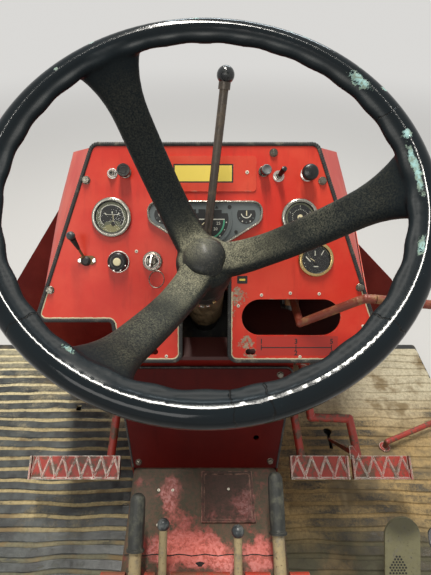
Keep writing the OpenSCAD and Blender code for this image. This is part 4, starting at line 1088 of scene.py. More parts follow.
# %% Cap of the wheel
CAP_R = 28.8
CAP_EDGE = 2.0
CAP_RISE = 12.2
profile = [(CAP_R + 0.5, -CAP_EDGE), (CAP_R, 1.2), (CAP_R - 1.5, 2.2)]
for i in range(1, 13):
    x, y = polar(1.0, 90.0 * i / 12)
    profile.append(((CAP_R - CAP_EDGE) * x + 0.01, CAP_EDGE + (CAP_RISE - CAP_EDGE) * y))
dome = Form().lathe(mm(profile), on(COLUMN, z=HUB_TOP / MM), steps=64)
dome.object("wheel_cap_dome", "wheel", [cap_black], "wheel_black", ["wheel_cap"])
print("cap radius", CAP_R, "mm")

# %% [markdown]
# The panel, the cluster and their rubber trims have outlines of straight stretches with round corners. An
# outline is written as a few rows of a corner and its radius, in the panel's own millimetres, and the arcs
# are worked out. Stepping along an outline at an even pace gives the ribs of a trim an even pitch.

# %% Outlines with round corners
CORNER_STEPS = 6


def round_outline(rows):
    """Points in metres, anticlockwise, from rows of (x, y, corner radius) in millimetres."""
    outline = []
    for i, (x, y, radius) in enumerate(rows):
        here = Vector((x, y))
        to_last = (Vector(rows[i - 1][:2]) - here).normalized()
        to_next = (Vector(rows[(i + 1) % len(rows)][:2]) - here).normalized()
        half = to_last.angle(to_next) / 2.0
        middle = here + (to_last + to_next).normalized() * radius / math.sin(half)
        first = here + to_last * radius / math.tan(half) - middle
        last = here + to_next * radius / math.tan(half) - middle
        turn = math.atan2(first.x * last.y - first.y * last.x, first.dot(last))
        for j in range(CORNER_STEPS + 1):
            outline.append(middle + Matrix.Rotation(turn * j / CORNER_STEPS, 2) @ first)
    return mm(outline)


def outward(outline, i):
    """The way out of an anticlockwise outline at one of its points."""
    before, here, after = (Vector(outline[k % len(outline)]) for k in (i - 1, i, i + 1))
    way = (here - before).normalized() + (after - here).normalized()
    return Vector((way.y, -way.x)).normalized()


def grown(outline, by):
    return [tuple(Vector(p) + outward(outline, i) * by) for i, p in enumerate(outline)]


def paced(outline, pace, loop=True):
    """Points at an even pace along an outline."""
    line = [Vector(p) for p in outline] + ([Vector(outline[0])] if loop else [])
    total = sum((b - a).length for a, b in zip(line, line[1:]))
    count = round(total / pace)
    points = []
    walked = 0.0
    for a, b in zip(line, line[1:]):
        span = (b - a).length
        while len(points) * total / count < walked + span - 1e-9 and len(points) < count:
            points.append(tuple(a.lerp(b, (len(points) * total / count - walked) / span)))
        walked += span
    return points


def bead(form, outline, section, place, finish=0, loop=True, swell=None):
    """A section of (outward, height) points swept round an outline. swell(i) scales it at point i."""
    rings = []
    for i, point in enumerate(outline):
        out = outward(outline, i if loop else min(max(i, 1), len(outline) - 2))
        scale = swell(i) if swell else 1.0
        ring = []
        for u, v in section:
            shifted = Vector(point) + out * u * scale
            ring.append(place @ Vector((shifted.x, shifted.y, v * scale)))
        rings.append(ring)
    return form.skin(rings, finish, loop=loop)


PANEL_ROWS = (
    (-170, 107, 12), (-263, -161, 10), (-144, -161, 8), (-134, -226, 12), (-39, -226, 12), (-39, -62, 18),
    (39, -62, 18), (39, -226, 12), (269, -226, 26), (263, -161, 30), (170, 107, 12),
)
CLUSTER_ROWS = ((-27, -46, 12), (27, -46, 12), (87, -9, 17), (90, 23, 16), (-90, 23, 16), (-87, -9, 17))
panel_outline = round_outline(PANEL_ROWS)
print("panel outline has", len(panel_outline), "points")

# %% [markdown]
# A black rubber strip is pushed over the panel's sheet edge, and a second one over the lower panel's. Cross
# ribs 3.5 mm apart give it its look, so they are real: the section swells and shrinks along the outline.

# %% Rubber trims
RIB_PITCH = 3.5 * MM
TRIM_SECTION = mm((
    (-2.3, 0.1), (-2.2, 1.3), (-1.0, 2.3), (0.9, 2.6), (2.9, 2.2), (4.0, 0.9), (4.1, -2.6), (3.2, -3.1),
    (0.4, -3.1), (0.3, 0.05),
))
LOWER_SECTION = mm(((-1.7, 0.6), (-1.6, 3.2), (-0.4, 4.3), (0.9, 4.2), (1.9, 3.1), (2.0, 0.3), (-0.2, 0.3)))
LOWER_HALF = (127.0, 148.0)
# chalky dirt lies along the lip of the low stretches
DIRT_SECTION = mm(((-3.9, 0.05), (-3.7, 0.5), (-2.1, 0.6), (-2.1, 0.05)))
DIRT_BELOW = -0.115


def ribs(i):
    return (1.0, 1.0, 0.86, 0.86)[i % 4]


def ragged(i):
    return 1.0 + 0.10 * math.sin(i * 0.9) * math.sin(i * 0.37)


rubber = Form()
bead(rubber, paced(panel_outline, RIB_PITCH / 4), TRIM_SECTION, PANEL, swell=ribs)
rubber.object("dash_trim_rubber", "platform", [trim_rubber], "black_rubber", ["dash_trim"])

chalk_dirt = flat_tone("chalk_dirt", paint(196, 184, 152), 0.5, roughness=0.85)
dirt = Form()
for side in (-1.0, 1.0):
    stretch = [p for p in paced(panel_outline, 2.0 * MM) if p[1] < DIRT_BELOW and p[0] * side > 0.0]
    bead(dirt, stretch, DIRT_SECTION, PANEL, loop=False, swell=ragged)
dirt.object("trim_dirt", "platform", [chalk_dirt], "dusty_metal")

lower_l = rise.length / MM
low_half, high_half = LOWER_HALF
lower_rows = ((low_half, 2, 0.1), (high_half, lower_l, 12), (-high_half, lower_l, 12), (-low_half, 2, 0.1))
lower_line = paced(round_outline(lower_rows), RIB_PITCH / 4, loop=False)
rubber = Form()
bead(rubber, lower_line, LOWER_SECTION, LOWER, loop=False, swell=ribs)
rubber.object("lower_trim_rubber", "platform", [trim_rubber], "black_rubber", ["lower_trim"])
print("rib pitch", RIB_PITCH / MM, "mm, ribs round the lower panel:", len(lower_line) // 4)

# %% [markdown]
# What is printed on a dial is drawn as thin raised strokes, 0.15 mm high, so that it keeps its sharp edge
# from close by and survives an export. A stroke is a ribbon along a few points, an arc is worked out from its
# angles, and plain numbers come from Blender's own font.

# %% Printed strokes and numbers
PRINT_T = 0.15 * MM


def stroke(form, place, points, width, finish, low=0.0):
    """A flat ribbon of that width in millimetres along points in millimetres, lying at a height."""
    line = [Vector(p) * MM for p in points]
    rings = []
    for i, here in enumerate(line):
        way = (line[min(i + 1, len(line) - 1)] - line[max(i - 1, 0)]).normalized()
        side = Vector((-way.y, way.x)) * width * MM / 2.0
        left, right = here + side, here - side
        corners = ((left, low), (left, low + PRINT_T), (right, low + PRINT_T), (right, low))
        rings.append([place @ Vector((p.x, p.y, height)) for p, height in corners])
    return form.skin(rings, finish)


def arc(radius, start, end, steps=14, middle=(0.0, 0.0)):
    """Points of an arc between two angles in degrees."""
    return [polar(radius, start + (end - start) * i / steps, middle) for i in range(steps + 1)]


def disc(form, place, radius, low, high, finish, steps=40):
    """A flat round plate, radius and heights in millimetres, with a softened rim."""
    soft = min(0.3, (high - low) / 2.0, radius / 4.0)
    form.turned(place, ((radius, low), (radius, high - soft), (radius - soft, high)), finish, steps)


def numeral(form, text, place, height, finish, bold=0.0):
    """A printed number centred on a place. bold: how much its lines are fattened, in millimetres."""
    curve = bpy.data.curves.new("numeral", "FONT")
    curve.body = text
    curve.size = height * MM * 1.4
    curve.align_x = "CENTER"
    curve.align_y = "CENTER"
    curve.extrude = PRINT_T
    curve.offset = bold * MM
    curve.resolution_u = 2
    holder = bpy.data.objects.new("numeral", curve)
    mesh = bpy.data.meshes.new_from_object(holder)
    start = len(form.points)
    form.points.extend(place @ v.co for v in mesh.vertices)
    form.faces.extend(tuple(start + k for k in face.vertices) for face in mesh.polygons)
    form.finishes.extend([finish] * len(mesh.polygons))
    bpy.data.objects.remove(holder)
    bpy.data.meshes.remove(mesh)
    bpy.data.curves.remove(curve)


print("print is", PRINT_T / MM, "mm thick")

# %% [markdown]
# Each gauge is a steel can with a rolled ring that holds the glass. The ring's profile is turned on a lathe:
# up the outside, over a round crown and down a short slope to the glass. A black ring inside the crown is
# painted shade that makes the gauge look deeper. Dial, marks and needle lie below the glass, whose dust shows
# more than the glass does.

# %% Round gauges
DIAL_FLOOR = 4.1
DIAL_LOW = 3.4
CAN_DEPTH = 46.0
CROWN_R = 3.5
GAUGE_FINISHES = [
    ring_chrome, dial_black, dial_olive, mark_white, needle_cream, dial_glass, print_black, dial_grey,
    dust_tan,
]
CHROME, BLACK, OLIVE, WHITE, CREAM, GLASS, PRINT, GREY, TAN = range(len(GAUGE_FINISHES))


def gauge_shell(form, place, r):
    """Can, rolled ring and black inner slope of a gauge with that outer radius in millimetres; the black is
    painted shade that makes the gauge look deeper.
    """
    crown = [polar(CROWN_R, -60.0 + 20.0 * i, (r - 3.0, CROWN_R)) for i in range(10)]
    can = [(r - 5.0, -CAN_DEPTH), (r - 4.2, 0.8 - CAN_DEPTH), (r - 4.2, 0.05), (r - 1.6, 0.05)]
    lip = [(r - 4.3, 6.7), (r - 4.7, 6.2), (r - 4.8, DIAL_FLOOR - 0.5)]
    form.turned(place, can + crown + lip, CHROME, 56)
    # painted shade: a black ring inside the crown, for the shade of a deeper can
    slope = mm([(r - 4.9, DIAL_FLOOR - 0.3), (r - 4.9, 6.4), (r - 5.8, 5.4), (r - 6.6, DIAL_FLOOR - 0.3)])
    rings = [circle(place, x, height, 56) for x, height in slope]
    form.skin(rings + rings[:1], BLACK, caps=(False, False))


def gauge_start(x, y, radius, tone):
    """The shell and the plain dial of a gauge, as a form with its place and its face."""
    form = Form()
    place = spot(x, y)
    gauge_shell(form, place, radius)
    disc(form, place, radius - 5.2, DIAL_LOW, DIAL_FLOOR, tone)
    return form, place, on(place, z=DIAL_FLOOR)


def gauge_end(form, place, radius, node, ring=ring_chrome):
    """A thin dome of glass closes the gauge, and it becomes an object that stands for its solid."""
    r = radius - 4.9
    dome = [polar(1.0, 15.0 * i) for i in range(6)]
    form.turned(place, [(r, 5.0), *((r * x, 5.3 + 0.9 * y) for x, y in dome), (ON_AXIS, 6.2)], GLASS, 40)
    return form.object(node + "_dial", "platform", [ring] + GAUGE_FINISHES[1:], "gauge_bezel", [node])


def gauge_left():
    """Wide window with three bars over a dusty olive dial, and a thin upright needle."""
    radius = 30.0
    form, place, face = gauge_start(-143.0, -2.0, radius, OLIVE)
    top = arc(21.5, 138.0, 42.0, middle=(0.5, -2.5))
    low_arc = arc(26.0, 61.0, 119.0, middle=(2.0, -31.5))
    window = [(20.5, -2.0), (18.6, -9.0), (16.2, -12.6), (13.5, -12.2)] + low_arc
    window += [(-11.5, -11.4), (-14.0, -10.0), (-17.0, -5.0), (-17.6, -1.0)] + top
    form.slab(mm(window), 0.0, PRINT_T, face, WHITE)
    form.slab(mm([(x * 0.955 + 0.1, y * 0.955) for x, y in window]), 0.0, PRINT_T * 1.6, face, BLACK)
    high = PRINT_T * 2.0
    for bar in (((-10.0, 6.4), (-7.0, 3.4)), ((1.6, 8.6), (1.6, 5.4)), ((12.4, 6.2), (9.6, 3.3))):
        stroke(form, face, bar, 1.5, WHITE, high)
    stroke(form, face, ((-7.2, 3.9), (9.7, 3.9)), 0.5, WHITE, high)
    stroke(form, face, ((2.9, 3.6), (2.9, -8.4)), 0.7, CREAM, high * 2.0)
    disc(form, on(face, 2.9, -10.0), 3.2, 0.0, 1.2, PRINT, 20)
    stroke(form, face, arc(17.6, 96.0, 84.0, 4, (-2.0, 0.0)), 1.4, WHITE)
    dust = arc(22.5, 232.0, 308.0, 12) + [(9.5, -12.9), (0.0, -10.2), (-8.5, -12.6)]
    form.slab(mm(dust), 0.0, PRINT_T, face, TAN)
    return gauge_end(form, place, radius, "gauge_left")


def gauge_right_upper():
    """Black dial with a ring of fine ticks round a cream hub and a cream needle."""
    radius = 28.0
    form, place, face = gauge_start(145.0, -2.0, radius, BLACK)
    stroke(form, face, arc(20.6, 0.0, 360.0, 48), 2.6, OLIVE)
    for i in range(21):
        degrees = -40.0 + 13.0 * i
        outer = 13.4 if i % 5 == 0 else 12.3
        stroke(form, face, (polar(11.0, degrees), polar(outer, degrees)), 0.55, WHITE, PRINT_T)
    for number in range(5):
        numeral(form, str(number), on(face, *polar(16.5, 220.0 - 65.0 * number), PRINT_T / MM), 2.6, WHITE)
    disc(form, face, 4.0, 0.0, 1.6, CREAM, 24)
    disc(form, on(face, -1.0, -1.5), 1.9, 1.2, 1.9, GREY, 16)
    stroke(form, face, ((1.5, 1.6), (-7.6, -8.2)), 1.1, CREAM, 1.0 * MM)
    return gauge_end(form, place, radius, "gauge_right_upper")


# first end, last end, width and finish of the bars on the lower right dial
LOWER_BARS = (
    ((-15.8, 4.0), (-8.6, -3.6), 1.5, WHITE), ((-14.8, 12.0), (-11.3, 5.8), 1.0, GREY),
    ((-1.8, 13.0), (-1.8, 6.2), 1.2, WHITE), ((-3.0, 6.2), (-0.4, 6.2), 0.9, WHITE),
    ((11.7, 13.5), (7.7, 6.3), 1.2, WHITE), ((-3.5, -11.3), (3.5, -11.3), 1.3, WHITE),
    ((-18.4, -6.0), (-17.4, -6.2), 1.1, WHITE), ((-16.4, -10.8), (-15.5, -11.2), 1.1, WHITE),
)


def gauge_right_lower():
    """Dark greenish dial with a few bars, in a thin ring like brass."""
    radius = 27.0
    form, place, face = gauge_start(171.0, -66.0, radius, BLACK)
    stroke(form, face, arc(20.4, 20.0, 175.0, 30), 1.6, OLIVE)
    for first, last, width, finish in LOWER_BARS:
        stroke(form, face, (first, last), width, finish, PRINT_T)
    disc(form, on(face, 0.0, -4.5), 3.0, 0.0, 1.4, PRINT, 20)
    stroke(form, face, ((0.0, -4.5), (-9.0, 1.4)), 0.9, CREAM, 0.8 * MM)
    return gauge_end(form, place, radius, "gauge_right_lower", ring_brass)


for make in (gauge_left, gauge_right_upper, gauge_right_lower):
    print(make().name)

# %% [markdown]
# The cluster is one plastic tray with a bright ring. In its dusty grey face sit a large dial, cut off flat at
# the top by a row of dark warning lamps, and a small gauge on each side. A ridge runs round the large dial.

# %% Instrument cluster
CLUSTER_BEZEL = mm((
    (0.0, 0.1), (0.1, 4.6), (-0.5, 6.9), (-1.7, 7.9), (-2.9, 7.3), (-3.7, 5.4), (-3.9, 3.0), (-3.8, 0.1),
))
CLUSTER_FINISHES = [
    ring_chrome, cluster_grey, dial_black, mark_white, mark_green, mark_red, print_black, needle_cream,
]
TRAY_RING, TRAY, DIAL, PALE_MARK, GREEN_MARK, RED_MARK, SCREW, NEEDLE = range(len(CLUSTER_FINISHES))
CLUSTER_FACE = 4.2
DIAL_T = 0.2 * MM
MARKS_AT = 0.25
BIG_DIAL = (1.5, -6.0)
BIG_DIAL_R = 34.5
BIG_DIAL_TOP = 4.0
NEEDLE_AT = (1.5, -7.6)
# middle, width and height
WARNING_LAMPS = ((-19.0, 6.5, 11.0, 7.0), (-4.5, 6.5, 11.0, 7.0), (18.5, 6.5, 14.0, 5.0))
SMALL_TICKS = (205.0, 238.0, 270.0, 302.0, 335.0)


def big_dial(form, face):
    """The large dial with its ridge, lamps, coloured arcs, dots, plain numbers and needle."""
    for side in (-1, 1):
        ridge = arc(39.5, -58.0, 8.0, 16, (0.0, -6.0)) + [(39.4, 4.0), (39.2, 9.0)]
        line = [on(face, BIG_DIAL[0] + side * x, y, 0.2).translation for x, y in ridge]
        form.tube(line, lambda t: MM * (0.5 + 1.4 * math.sin(math.pi * min(t + 0.08, 1.0)) ** 0.5), 10, TRAY)
    flat = math.degrees(math.asin((BIG_DIAL_TOP - BIG_DIAL[1]) / BIG_DIAL_R))
    form.slab(mm(arc(BIG_DIAL_R, 180.0 - flat, 360.0 + flat, 48, BIG_DIAL)), -0.1 * MM, DIAL_T, face, DIAL)
    for x, y, width, height in WARNING_LAMPS:
        lamp = rounded_box(width * MM, height * MM, 0.6 * MM, 2, (x * MM, y * MM))
        form.slab(lamp, 0.0, PRINT_T, face, DIAL)
    form.slab(mm([(15.0, 11.0), (20.4, 11.0), (17.7, 15.4)]), 0.0, PRINT_T, face, SCREW)
    top = MARKS_AT * MM
    stroke(form, face, ((-9.0, -5.2), (30.0, -5.2)), 1.5, PALE_MARK, top)
    stroke(form, face, arc(27.6, 3.0, -84.0, 26, NEEDLE_AT), 2.3, GREEN_MARK, top)
    stroke(form, face, arc(27.6, 186.0, 200.0, 6, NEEDLE_AT), 2.3, RED_MARK, top)
    stroke(form, face, arc(15.6, 205.0, 236.0, 8, NEEDLE_AT), 0.7, GREEN_MARK, top)
    stroke(form, face, ((-15.6, -6.9), (-11.8, -7.4)), 2.8, RED_MARK, top)
    stroke(form, face, ((-12.8, -8.6), (-9.6, -11.2)), 1.0, PALE_MARK, top)
    for i in range(9):
        dot = on(face, *polar(31.2, -4.0 - 21.5 * i, NEEDLE_AT), MARKS_AT)
        disc(form, dot, 1.1 if i % 2 == 0 else 0.7, 0.0, 0.15, PALE_MARK, 10)
    for text, degrees in (("25", -12.0), ("20", -42.0), ("15", -75.0), ("10", -108.0), ("5", -140.0)):
        x, y = polar(1.0, degrees)
        number_at = on(face, NEEDLE_AT[0] + 19.5 * x, NEEDLE_AT[1] + 18.5 * y, MARKS_AT)
        numeral(form, text, number_at, 4.6, PALE_MARK)
    disc(form, on(face, *NEEDLE_AT, MARKS_AT), 3.4, 0.0, 1.6, SCREW, 20)
    stroke(form, face, (NEEDLE_AT, (-14.0, -23.0)), 1.1, NEEDLE, 1.2 * MM)


def small_dial(form, face, side):
    """The small gauge at one side, with the two screws beside it."""
    x, y = side * 63.0, 1.5
    top = MARKS_AT * MM
    form.slab(mm(arc(14.3, 150.0, 390.0, 36, (x, y))), -0.1 * MM, DIAL_T, face, DIAL)
    stroke(form, face, arc(15.0, 178.0, 362.0, 24, (x, y)), 1.0, TRAY, 0.1 * MM)
    stroke(form, face, arc(7.6, 190.0, 350.0, 14, (x, y + 3.0)), 1.2, PALE_MARK, top)
    for number, degrees in enumerate(SMALL_TICKS):
        ends = (polar(10.4, degrees, (x, y)), polar(12.4, degrees, (x, y)))
        stroke(form, face, ends, 1.5, PALE_MARK if number % 2 else TRAY, top)
    stroke(form, face, ((x + 0.4, 0.2), (x + 0.4, 7.8)), 1.5, NEEDLE, top * 2.0)
    disc(form, on(face, side * 47.5, -24.4), 2.7, 0.0, 0.9, SCREW, 16)
    disc(form, on(face, side * 37.4, 13.4), 3.0, 0.0, 0.9, SCREW, 16)


def cluster_piece():
    outline = round_outline(CLUSTER_ROWS)
    face = on(PANEL, z=CLUSTER_FACE)
    form = Form()
    bead(form, outline, CLUSTER_BEZEL, PANEL, TRAY_RING)
    form.slab(grown(outline, -0.0036), 0.0005, CLUSTER_FACE * MM, PANEL, TRAY)
    big_dial(form, face)
    for side in (-1, 1):
        small_dial(form, face, side)
    return form.object("cluster_tray", "platform", CLUSTER_FINISHES, "gauge_bezel", ["cluster"])


print(cluster_piece().name)

# %% [markdown]
# Knobs, toggles and the ignition lock are turned parts. Each is a profile on the lathe, standing square on
# the panel. Steel nuts and washers at their feet catch the light, and a few hex nuts show flats.

# %% Small controls of the panel
CONTROL_FINISHES = [knob_black, bright_steel, bolt_steel, print_black, cream_plastic, ball_grey, brass_brown]
KNOB, BRIGHT, BOLT, DARK, IVORY, BALL, BRASS = range(len(CONTROL_FINISHES))


def hexagon(form, place, across, low, high, finish, turn=0.0):
    """A hex nut or head with chamfered corners, its width across flats and heights in millimetres."""
    r = across / math.sqrt(3.0)
    form.turned(place, ((r, low), (r, high - 0.8), (r * 0.88, high)), finish, 6, turn)


def nut_switch(form, place):
    """A switch that has lost its knob: nut and threaded stub with a dark slot."""
    form.turned(place, ((8.0, 0), (8.0, 0.8), (7.4, 1.3)), BRIGHT)
    hexagon(form, place, 12.0, 1.2, 4.6, BRIGHT, 0.3)
    form.turned(place, ((4.2, 4.0), (4.2, 7.6), (3.6, 8.4), (2.0, 8.4), (1.9, 6.6)), BOLT, 20)
    form.turned(place, ((1.8, 6.5), (1.8, 7.3)), DARK, 12)


def ribbed_knob(form, place):
    """A pull knob: bright foot nut, ribbed black barrel and a ringed cap."""
    form.turned(place, ((9.0, 0), (9.0, 1.0), (ON_AXIS, 1.2)), BRIGHT)
    hexagon(form, place, 15.0, 1.0, 5.0, BRIGHT, 0.2)
    rings = []
    for r, h in ((7.8, 5.0), (8.0, 12.0), (10.0, 13.2), (10.0, 19.0), (9.3, 20.0), (7.2, 20.0), (6.6, 19.1),
                 (ON_AXIS, 19.1)):
        ring = []
        for i, a in enumerate(angles(60)):
            knurled = r * 0.95 if i % 3 == 0 and 12.4 < h < 19.5 else r
            ring.append(on(place, knurled * math.cos(a), knurled * math.sin(a), h).translation)
        rings.append(ring)
    form.skin(rings, KNOB)
    form.turned(place, ((5.0, 19.0), (4.6, 19.8), (3.0, 19.4)), DARK, 24)


def push_button(form, place):
    """A button with a pale hollow cap, leaning a little to the right."""
    place = turned_by(place, 9.0, "Y")
    form.turned(place, ((8.0, -1), (8.2, 2.2), (7.0, 3.2)), BOLT)
    form.turned(place, ((6.2, 3), (6.4, 11), (7.6, 12), (7.6, 16.6)), KNOB)
    form.turned(place, ((7.7, 16), (7.7, 17.4), (7.0, 18.2), (5.6, 18.0), (4.2, 16.9), (ON_AXIS, 16.6)), BALL)


def bat_radius(share):
    """Radius of the toggle's bat along its length: thin neck, full belly and a round end."""
    belly = math.sin(math.pi * min(1.0, 0.15 + share * 0.62))
    return MM * (2.0 + 2.1 * belly - 10.4 * max(0.0, share - 0.8))


def toggle(form, place):
    """A toggle switch: washer, nut and a short black bat."""
    form.turned(place, ((8.6, 0), (8.6, 1.0), (ON_AXIS, 1.2)), BRIGHT)
    hexagon(form, place, 12.5, 1.0, 4.8, BRIGHT)
    form.turned(place, ((4.8, 4.0), (4.8, 6.8), (3.2, 8.0)), BOLT, 20)
    bat = ((0, 0, 5), (1.4, 2.0, 10), (3.0, 4.4, 16), (4.2, 6.2, 21), (4.9, 7.2, 24), (5.1, 7.5, 25))
    form.tube([on(place, *p).translation for p in bat], bat_radius, 16, KNOB)


def big_knob(form, place):
    """The large stop knob: bright foot and a broad mushroom cap with a dull face."""
    form.turned(place, ((11.0, 0), (11.0, 1.4), (9.6, 2.2)), BRIGHT)
    form.turned(place, ((7.6, 2), (7.2, 8), (7.6, 12)), KNOB)
    cap = ((8.0, 11.5), (11.4, 13.5), (12.4, 16.5), (12.2, 19.5), (11.0, 22.0), (8.8, 23.4), (ON_AXIS, 24.0))
    form.turned(place, cap, KNOB, 40)


def light_switch(form, place):
    """Round rotary switch: thin bright ring, mottled black drum and a cream button in a black ring."""
    form.turned(place, ((17.2, 0), (17.2, 1.2), (16.4, 2.0)), BRIGHT, 48)
    drum = ((15.6, 1.8), (15.8, 4.0), (15.2, 8.5), (13.6, 11.2), (11.0, 12.4), (9.6, 12.4), (9.2, 11.0))
    form.turned(place, drum, KNOB, 48)
    form.turned(place, ((9.1, 10.8), (9.1, 11.6), (7.0, 11.9)), DARK, 36)
    form.turned(place, ((6.0, 11.5), (6.0, 12.6), (5.2, 13.4), (ON_AXIS, 13.7)), IVORY)
    for degrees in (205.0, 248.0, 292.0, 335.0):
        hexagon(form, on(place, *polar(13.2, degrees), 9.8), 2.6, 0.0, 1.6, BRIGHT)


def lamp_lever(form, place):
    """Long toggle of the indicator: brass plate with two screws, thin rod, cone and a grey ball."""
    form.slab(rounded_box(0.026, 0.014, 0.0069, 6, (0.002, 0.0015)), 0.0, 0.0014, place, BRASS, 0.0004)
    form.turned(place, ((7.6, 1), (7.2, 3.6), (4.6, 6.0)), DARK, 28)
    for x in (-9.6, 12.6):
        screw = ((3.3, 1.2), (3.2, 2.6), (2.2, 3.4), (0.9, 3.4), (0.8, 2.6))
        form.turned(on(place, x, 0.6), screw, BRIGHT, 18)
    tip = Vector((-13.5, 39.0, 33.0))
    form.tube([on(place, *(tip * t)).translation for t in (0.04, 0.2, 0.4, 0.5)], 1.9 * MM, 14, BRASS)
    cone = [on(place, *(tip * t)).translation for t in (0.48, 0.56, 0.66, 0.78, 0.86)]
    form.tube(cone, lambda t: MM * (2.3 + 2.6 * t), 18, DARK)
    ball = [polar(6.6, -78.0 + 14.0 * i) for i in range(12)]
    ball_at = on(place, *(tip * 0.97)) @ along_z(tip)
    form.turned(ball_at, [(ON_AXIS, -6.6), *ball, (ON_AXIS, 6.6)], BALL, 24)


# which control stands where, millimetres across and up the panel
CONTROLS = (
    (nut_switch, -141, 64), (ribbed_knob, -121, 66), (push_button, 89, 67), (toggle, 112, 60),
    (big_knob, 156, 63), (light_switch, -134, -70), (lamp_lever, -184, -69),
)

controls = Form()
for control, x, y in CONTROLS:
    control(controls, spot(x, y))
controls.object("dash_controls", "platform", CONTROL_FINISHES, "black_knob", ["dash_switches"])
print("control faces:", len(controls.faces))

# %% Ignition lock with its key
LOCK_AT = (-81, -69)
LOCK_FINISHES = [ring_chrome, bright_steel, print_black, bolt_steel]
LOCK_RING, BARREL, KEYWAY, KEY_STEEL = range(len(LOCK_FINISHES))
# one half of the key, from its neck to the end of its bow
HALF_KEY = ((-9.0, 3.0), (-14.0, 3.4), (-15.0, 9.4), (-18.5, 11.0), (-24.5, 10.6), (-27.8, 7.0))


def ignition():
    """Chromed ring, barrel with its printed positions, upright key and two thin key rings."""
    form = Form()
    place = spot(*LOCK_AT)
    outer = ((15.5, 0), (15.5, 2.2), (14.6, 4.4), (13.2, 5.0), (12.7, 4.6), (12.6, 3.4))
    form.turned(place, outer, LOCK_RING, 48)
    inner = ((11.9, 3.2), (11.9, 7.6), (11.1, 8.8), (10.1, 8.9), (9.6, 8.2), (9.5, 6.6))
    form.turned(place, inner, BARREL, 48)
    form.turned(place, ((9.4, 6.4), (9.3, 7.0)), KEYWAY, 36)
    form.turned(place, ((6.0, 6.8), (6.0, 8.2), (5.0, 9.0)), KEY_STEEL, 28)
    for start in (25.0, 145.0, 265.0):
        stroke(form, on(place, z=6.9), arc(7.7, start, start + 70.0, 8), 1.6, KEY_STEEL)
    blade = [(-9.0, -3.0), *HALF_KEY, *((x, -y) for x, y in reversed(HALF_KEY[1:]))]
    upright = turned_by(turned_by(place, -9.0, "Z"), 90.0, "Y")
    form.slab(mm(blade), -1.1 * MM, 1.1 * MM, upright, BARREL, 0.3 * MM)
    hoop_at = turned_by(on(place, 7.4, -27.5, 14.0), -16.0, "X")
    for turn, lift in ((0.0, 0.0), (40.0, 0.9)):
        oval = [(11.4 * math.cos(a), 13.0 * math.sin(a)) for a in angles(40, turn)]
        hoop = [on(hoop_at, x, y, lift).translation for x, y in oval]
        form.tube(hoop, 0.75 * MM, 8, KEY_STEEL, loop=True)
    return form.object("ignition_with_key", "platform", LOCK_FINISHES, "bare_steel", ["ignition_lock"])


print(ignition().name)

# %% [markdown]
# Rivets, screws and the hex bolts that hold the panel are small, but the eye counts them. One function makes
# a kind of fastener and a list of places repeats it. They all ride on the platform as one object.

# %% Rivets and bolts
FASTENERS = [rivet_white, print_black, bolt_steel]
SHELL, HOLLOW, HEX = range(len(FASTENERS))
# millimetres across and up the panel, or the lower panel, or across and along the tunnel
PANEL_RIVETS = (
    (88, -122), (133, -119), (178, -120), (52, -139), (219, -141), (248, -171), (150, -220), (-61, -219),
    (-106, -54),
)
PANEL_BOLTS = ((-181, 54), (104, 95), (179, 53), (-241, -114), (241, -110))
LABEL_RIVET = (64, 65.5, 2.0)
LOWER_BOLTS = ((-126, 181), (126, 181), (-117, 14), (115, 16))
LOWER_RIVETS = ((-75, 158), (80, 158), (-63, 40))
SHEET_FACE = 1.8
TUNNEL_SCREWS = ((-79, -132), (-55, -132), (-76, -188))
LID_SCREW = (40, -132)


def pop_rivet(form, place, r=2.6):
    """A hollow rivet of radius r in millimetres: a low pale ring round a dark middle."""
    form.turned(place, ((r, 0), (r * 0.96, 0.5), (r * 0.7, 1.0), (r * 0.42, 0.9), (r * 0.38, 0.4)), SHELL, 18)
    form.turned(place, ((r * 0.36, 0.35), (r * 0.3, 0.6)), HOLLOW, 10)


def hex_bolt(form, place, turn, head=10.0):
    """Round washer under a hex head whose rim is turned to a low dome."""
    form.turned(place, ((head * 0.64, 0), (head * 0.64, 1.0), (head * 0.60, 1.4)), HEX, 28)
    hexagon(form, place, head, 1.3, 5.2, HEX, turn)
    form.turned(place, ((head * 0.34, 5.0), (head * 0.30, 5.6), (ON_AXIS, 5.7)), HEX, 18)


fasteners = Form()
level = Matrix()
for x, y in PANEL_RIVETS:
    pop_rivet(fasteners, spot(x, y))
pop_rivet(fasteners, on(PANEL, *LABEL_RIVET), 2.9)
for number, (x, y) in enumerate(PANEL_BOLTS):
    hex_bolt(fasteners, spot(x, y), number * 0.4)
for number, (x, y) in enumerate(LOWER_BOLTS):
    hex_bolt(fasteners, on(LOWER, x, y, SHEET_FACE), number * 0.5, 9.0)
for x, y in LOWER_RIVETS:
    pop_rivet(fasteners, on(LOWER, x, y, SHEET_FACE))
for x, y in TUNNEL_SCREWS:
    pop_rivet(fasteners, on(level, x, y, TUNNEL_TOP / MM), 2.4)
pop_rivet(fasteners, on(level, *LID_SCREW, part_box("tunnel_lid")[1].z / MM), 2.2)
fasteners.object("fasteners", "platform", FASTENERS, "bare_steel")
rows = (PANEL_RIVETS, PANEL_BOLTS, LOWER_BOLTS, LOWER_RIVETS, TUNNEL_SCREWS)
print("fasteners:", sum(len(row) for row in rows) + 2)

# %% [markdown]
# The yellow label keeps its black border and is blank. The gate of the gear lever keeps its line and plain
# gear numbers, printed on a slightly deeper red patch.

# %% Label and gear gate
PLATE_FINISHES = [print_black, label_yellow, patch_red]
PLATE_BLACK, PLATE_YELLOW, PLATE_RED = range(len(PLATE_FINISHES))
PATCH_T = 0.12
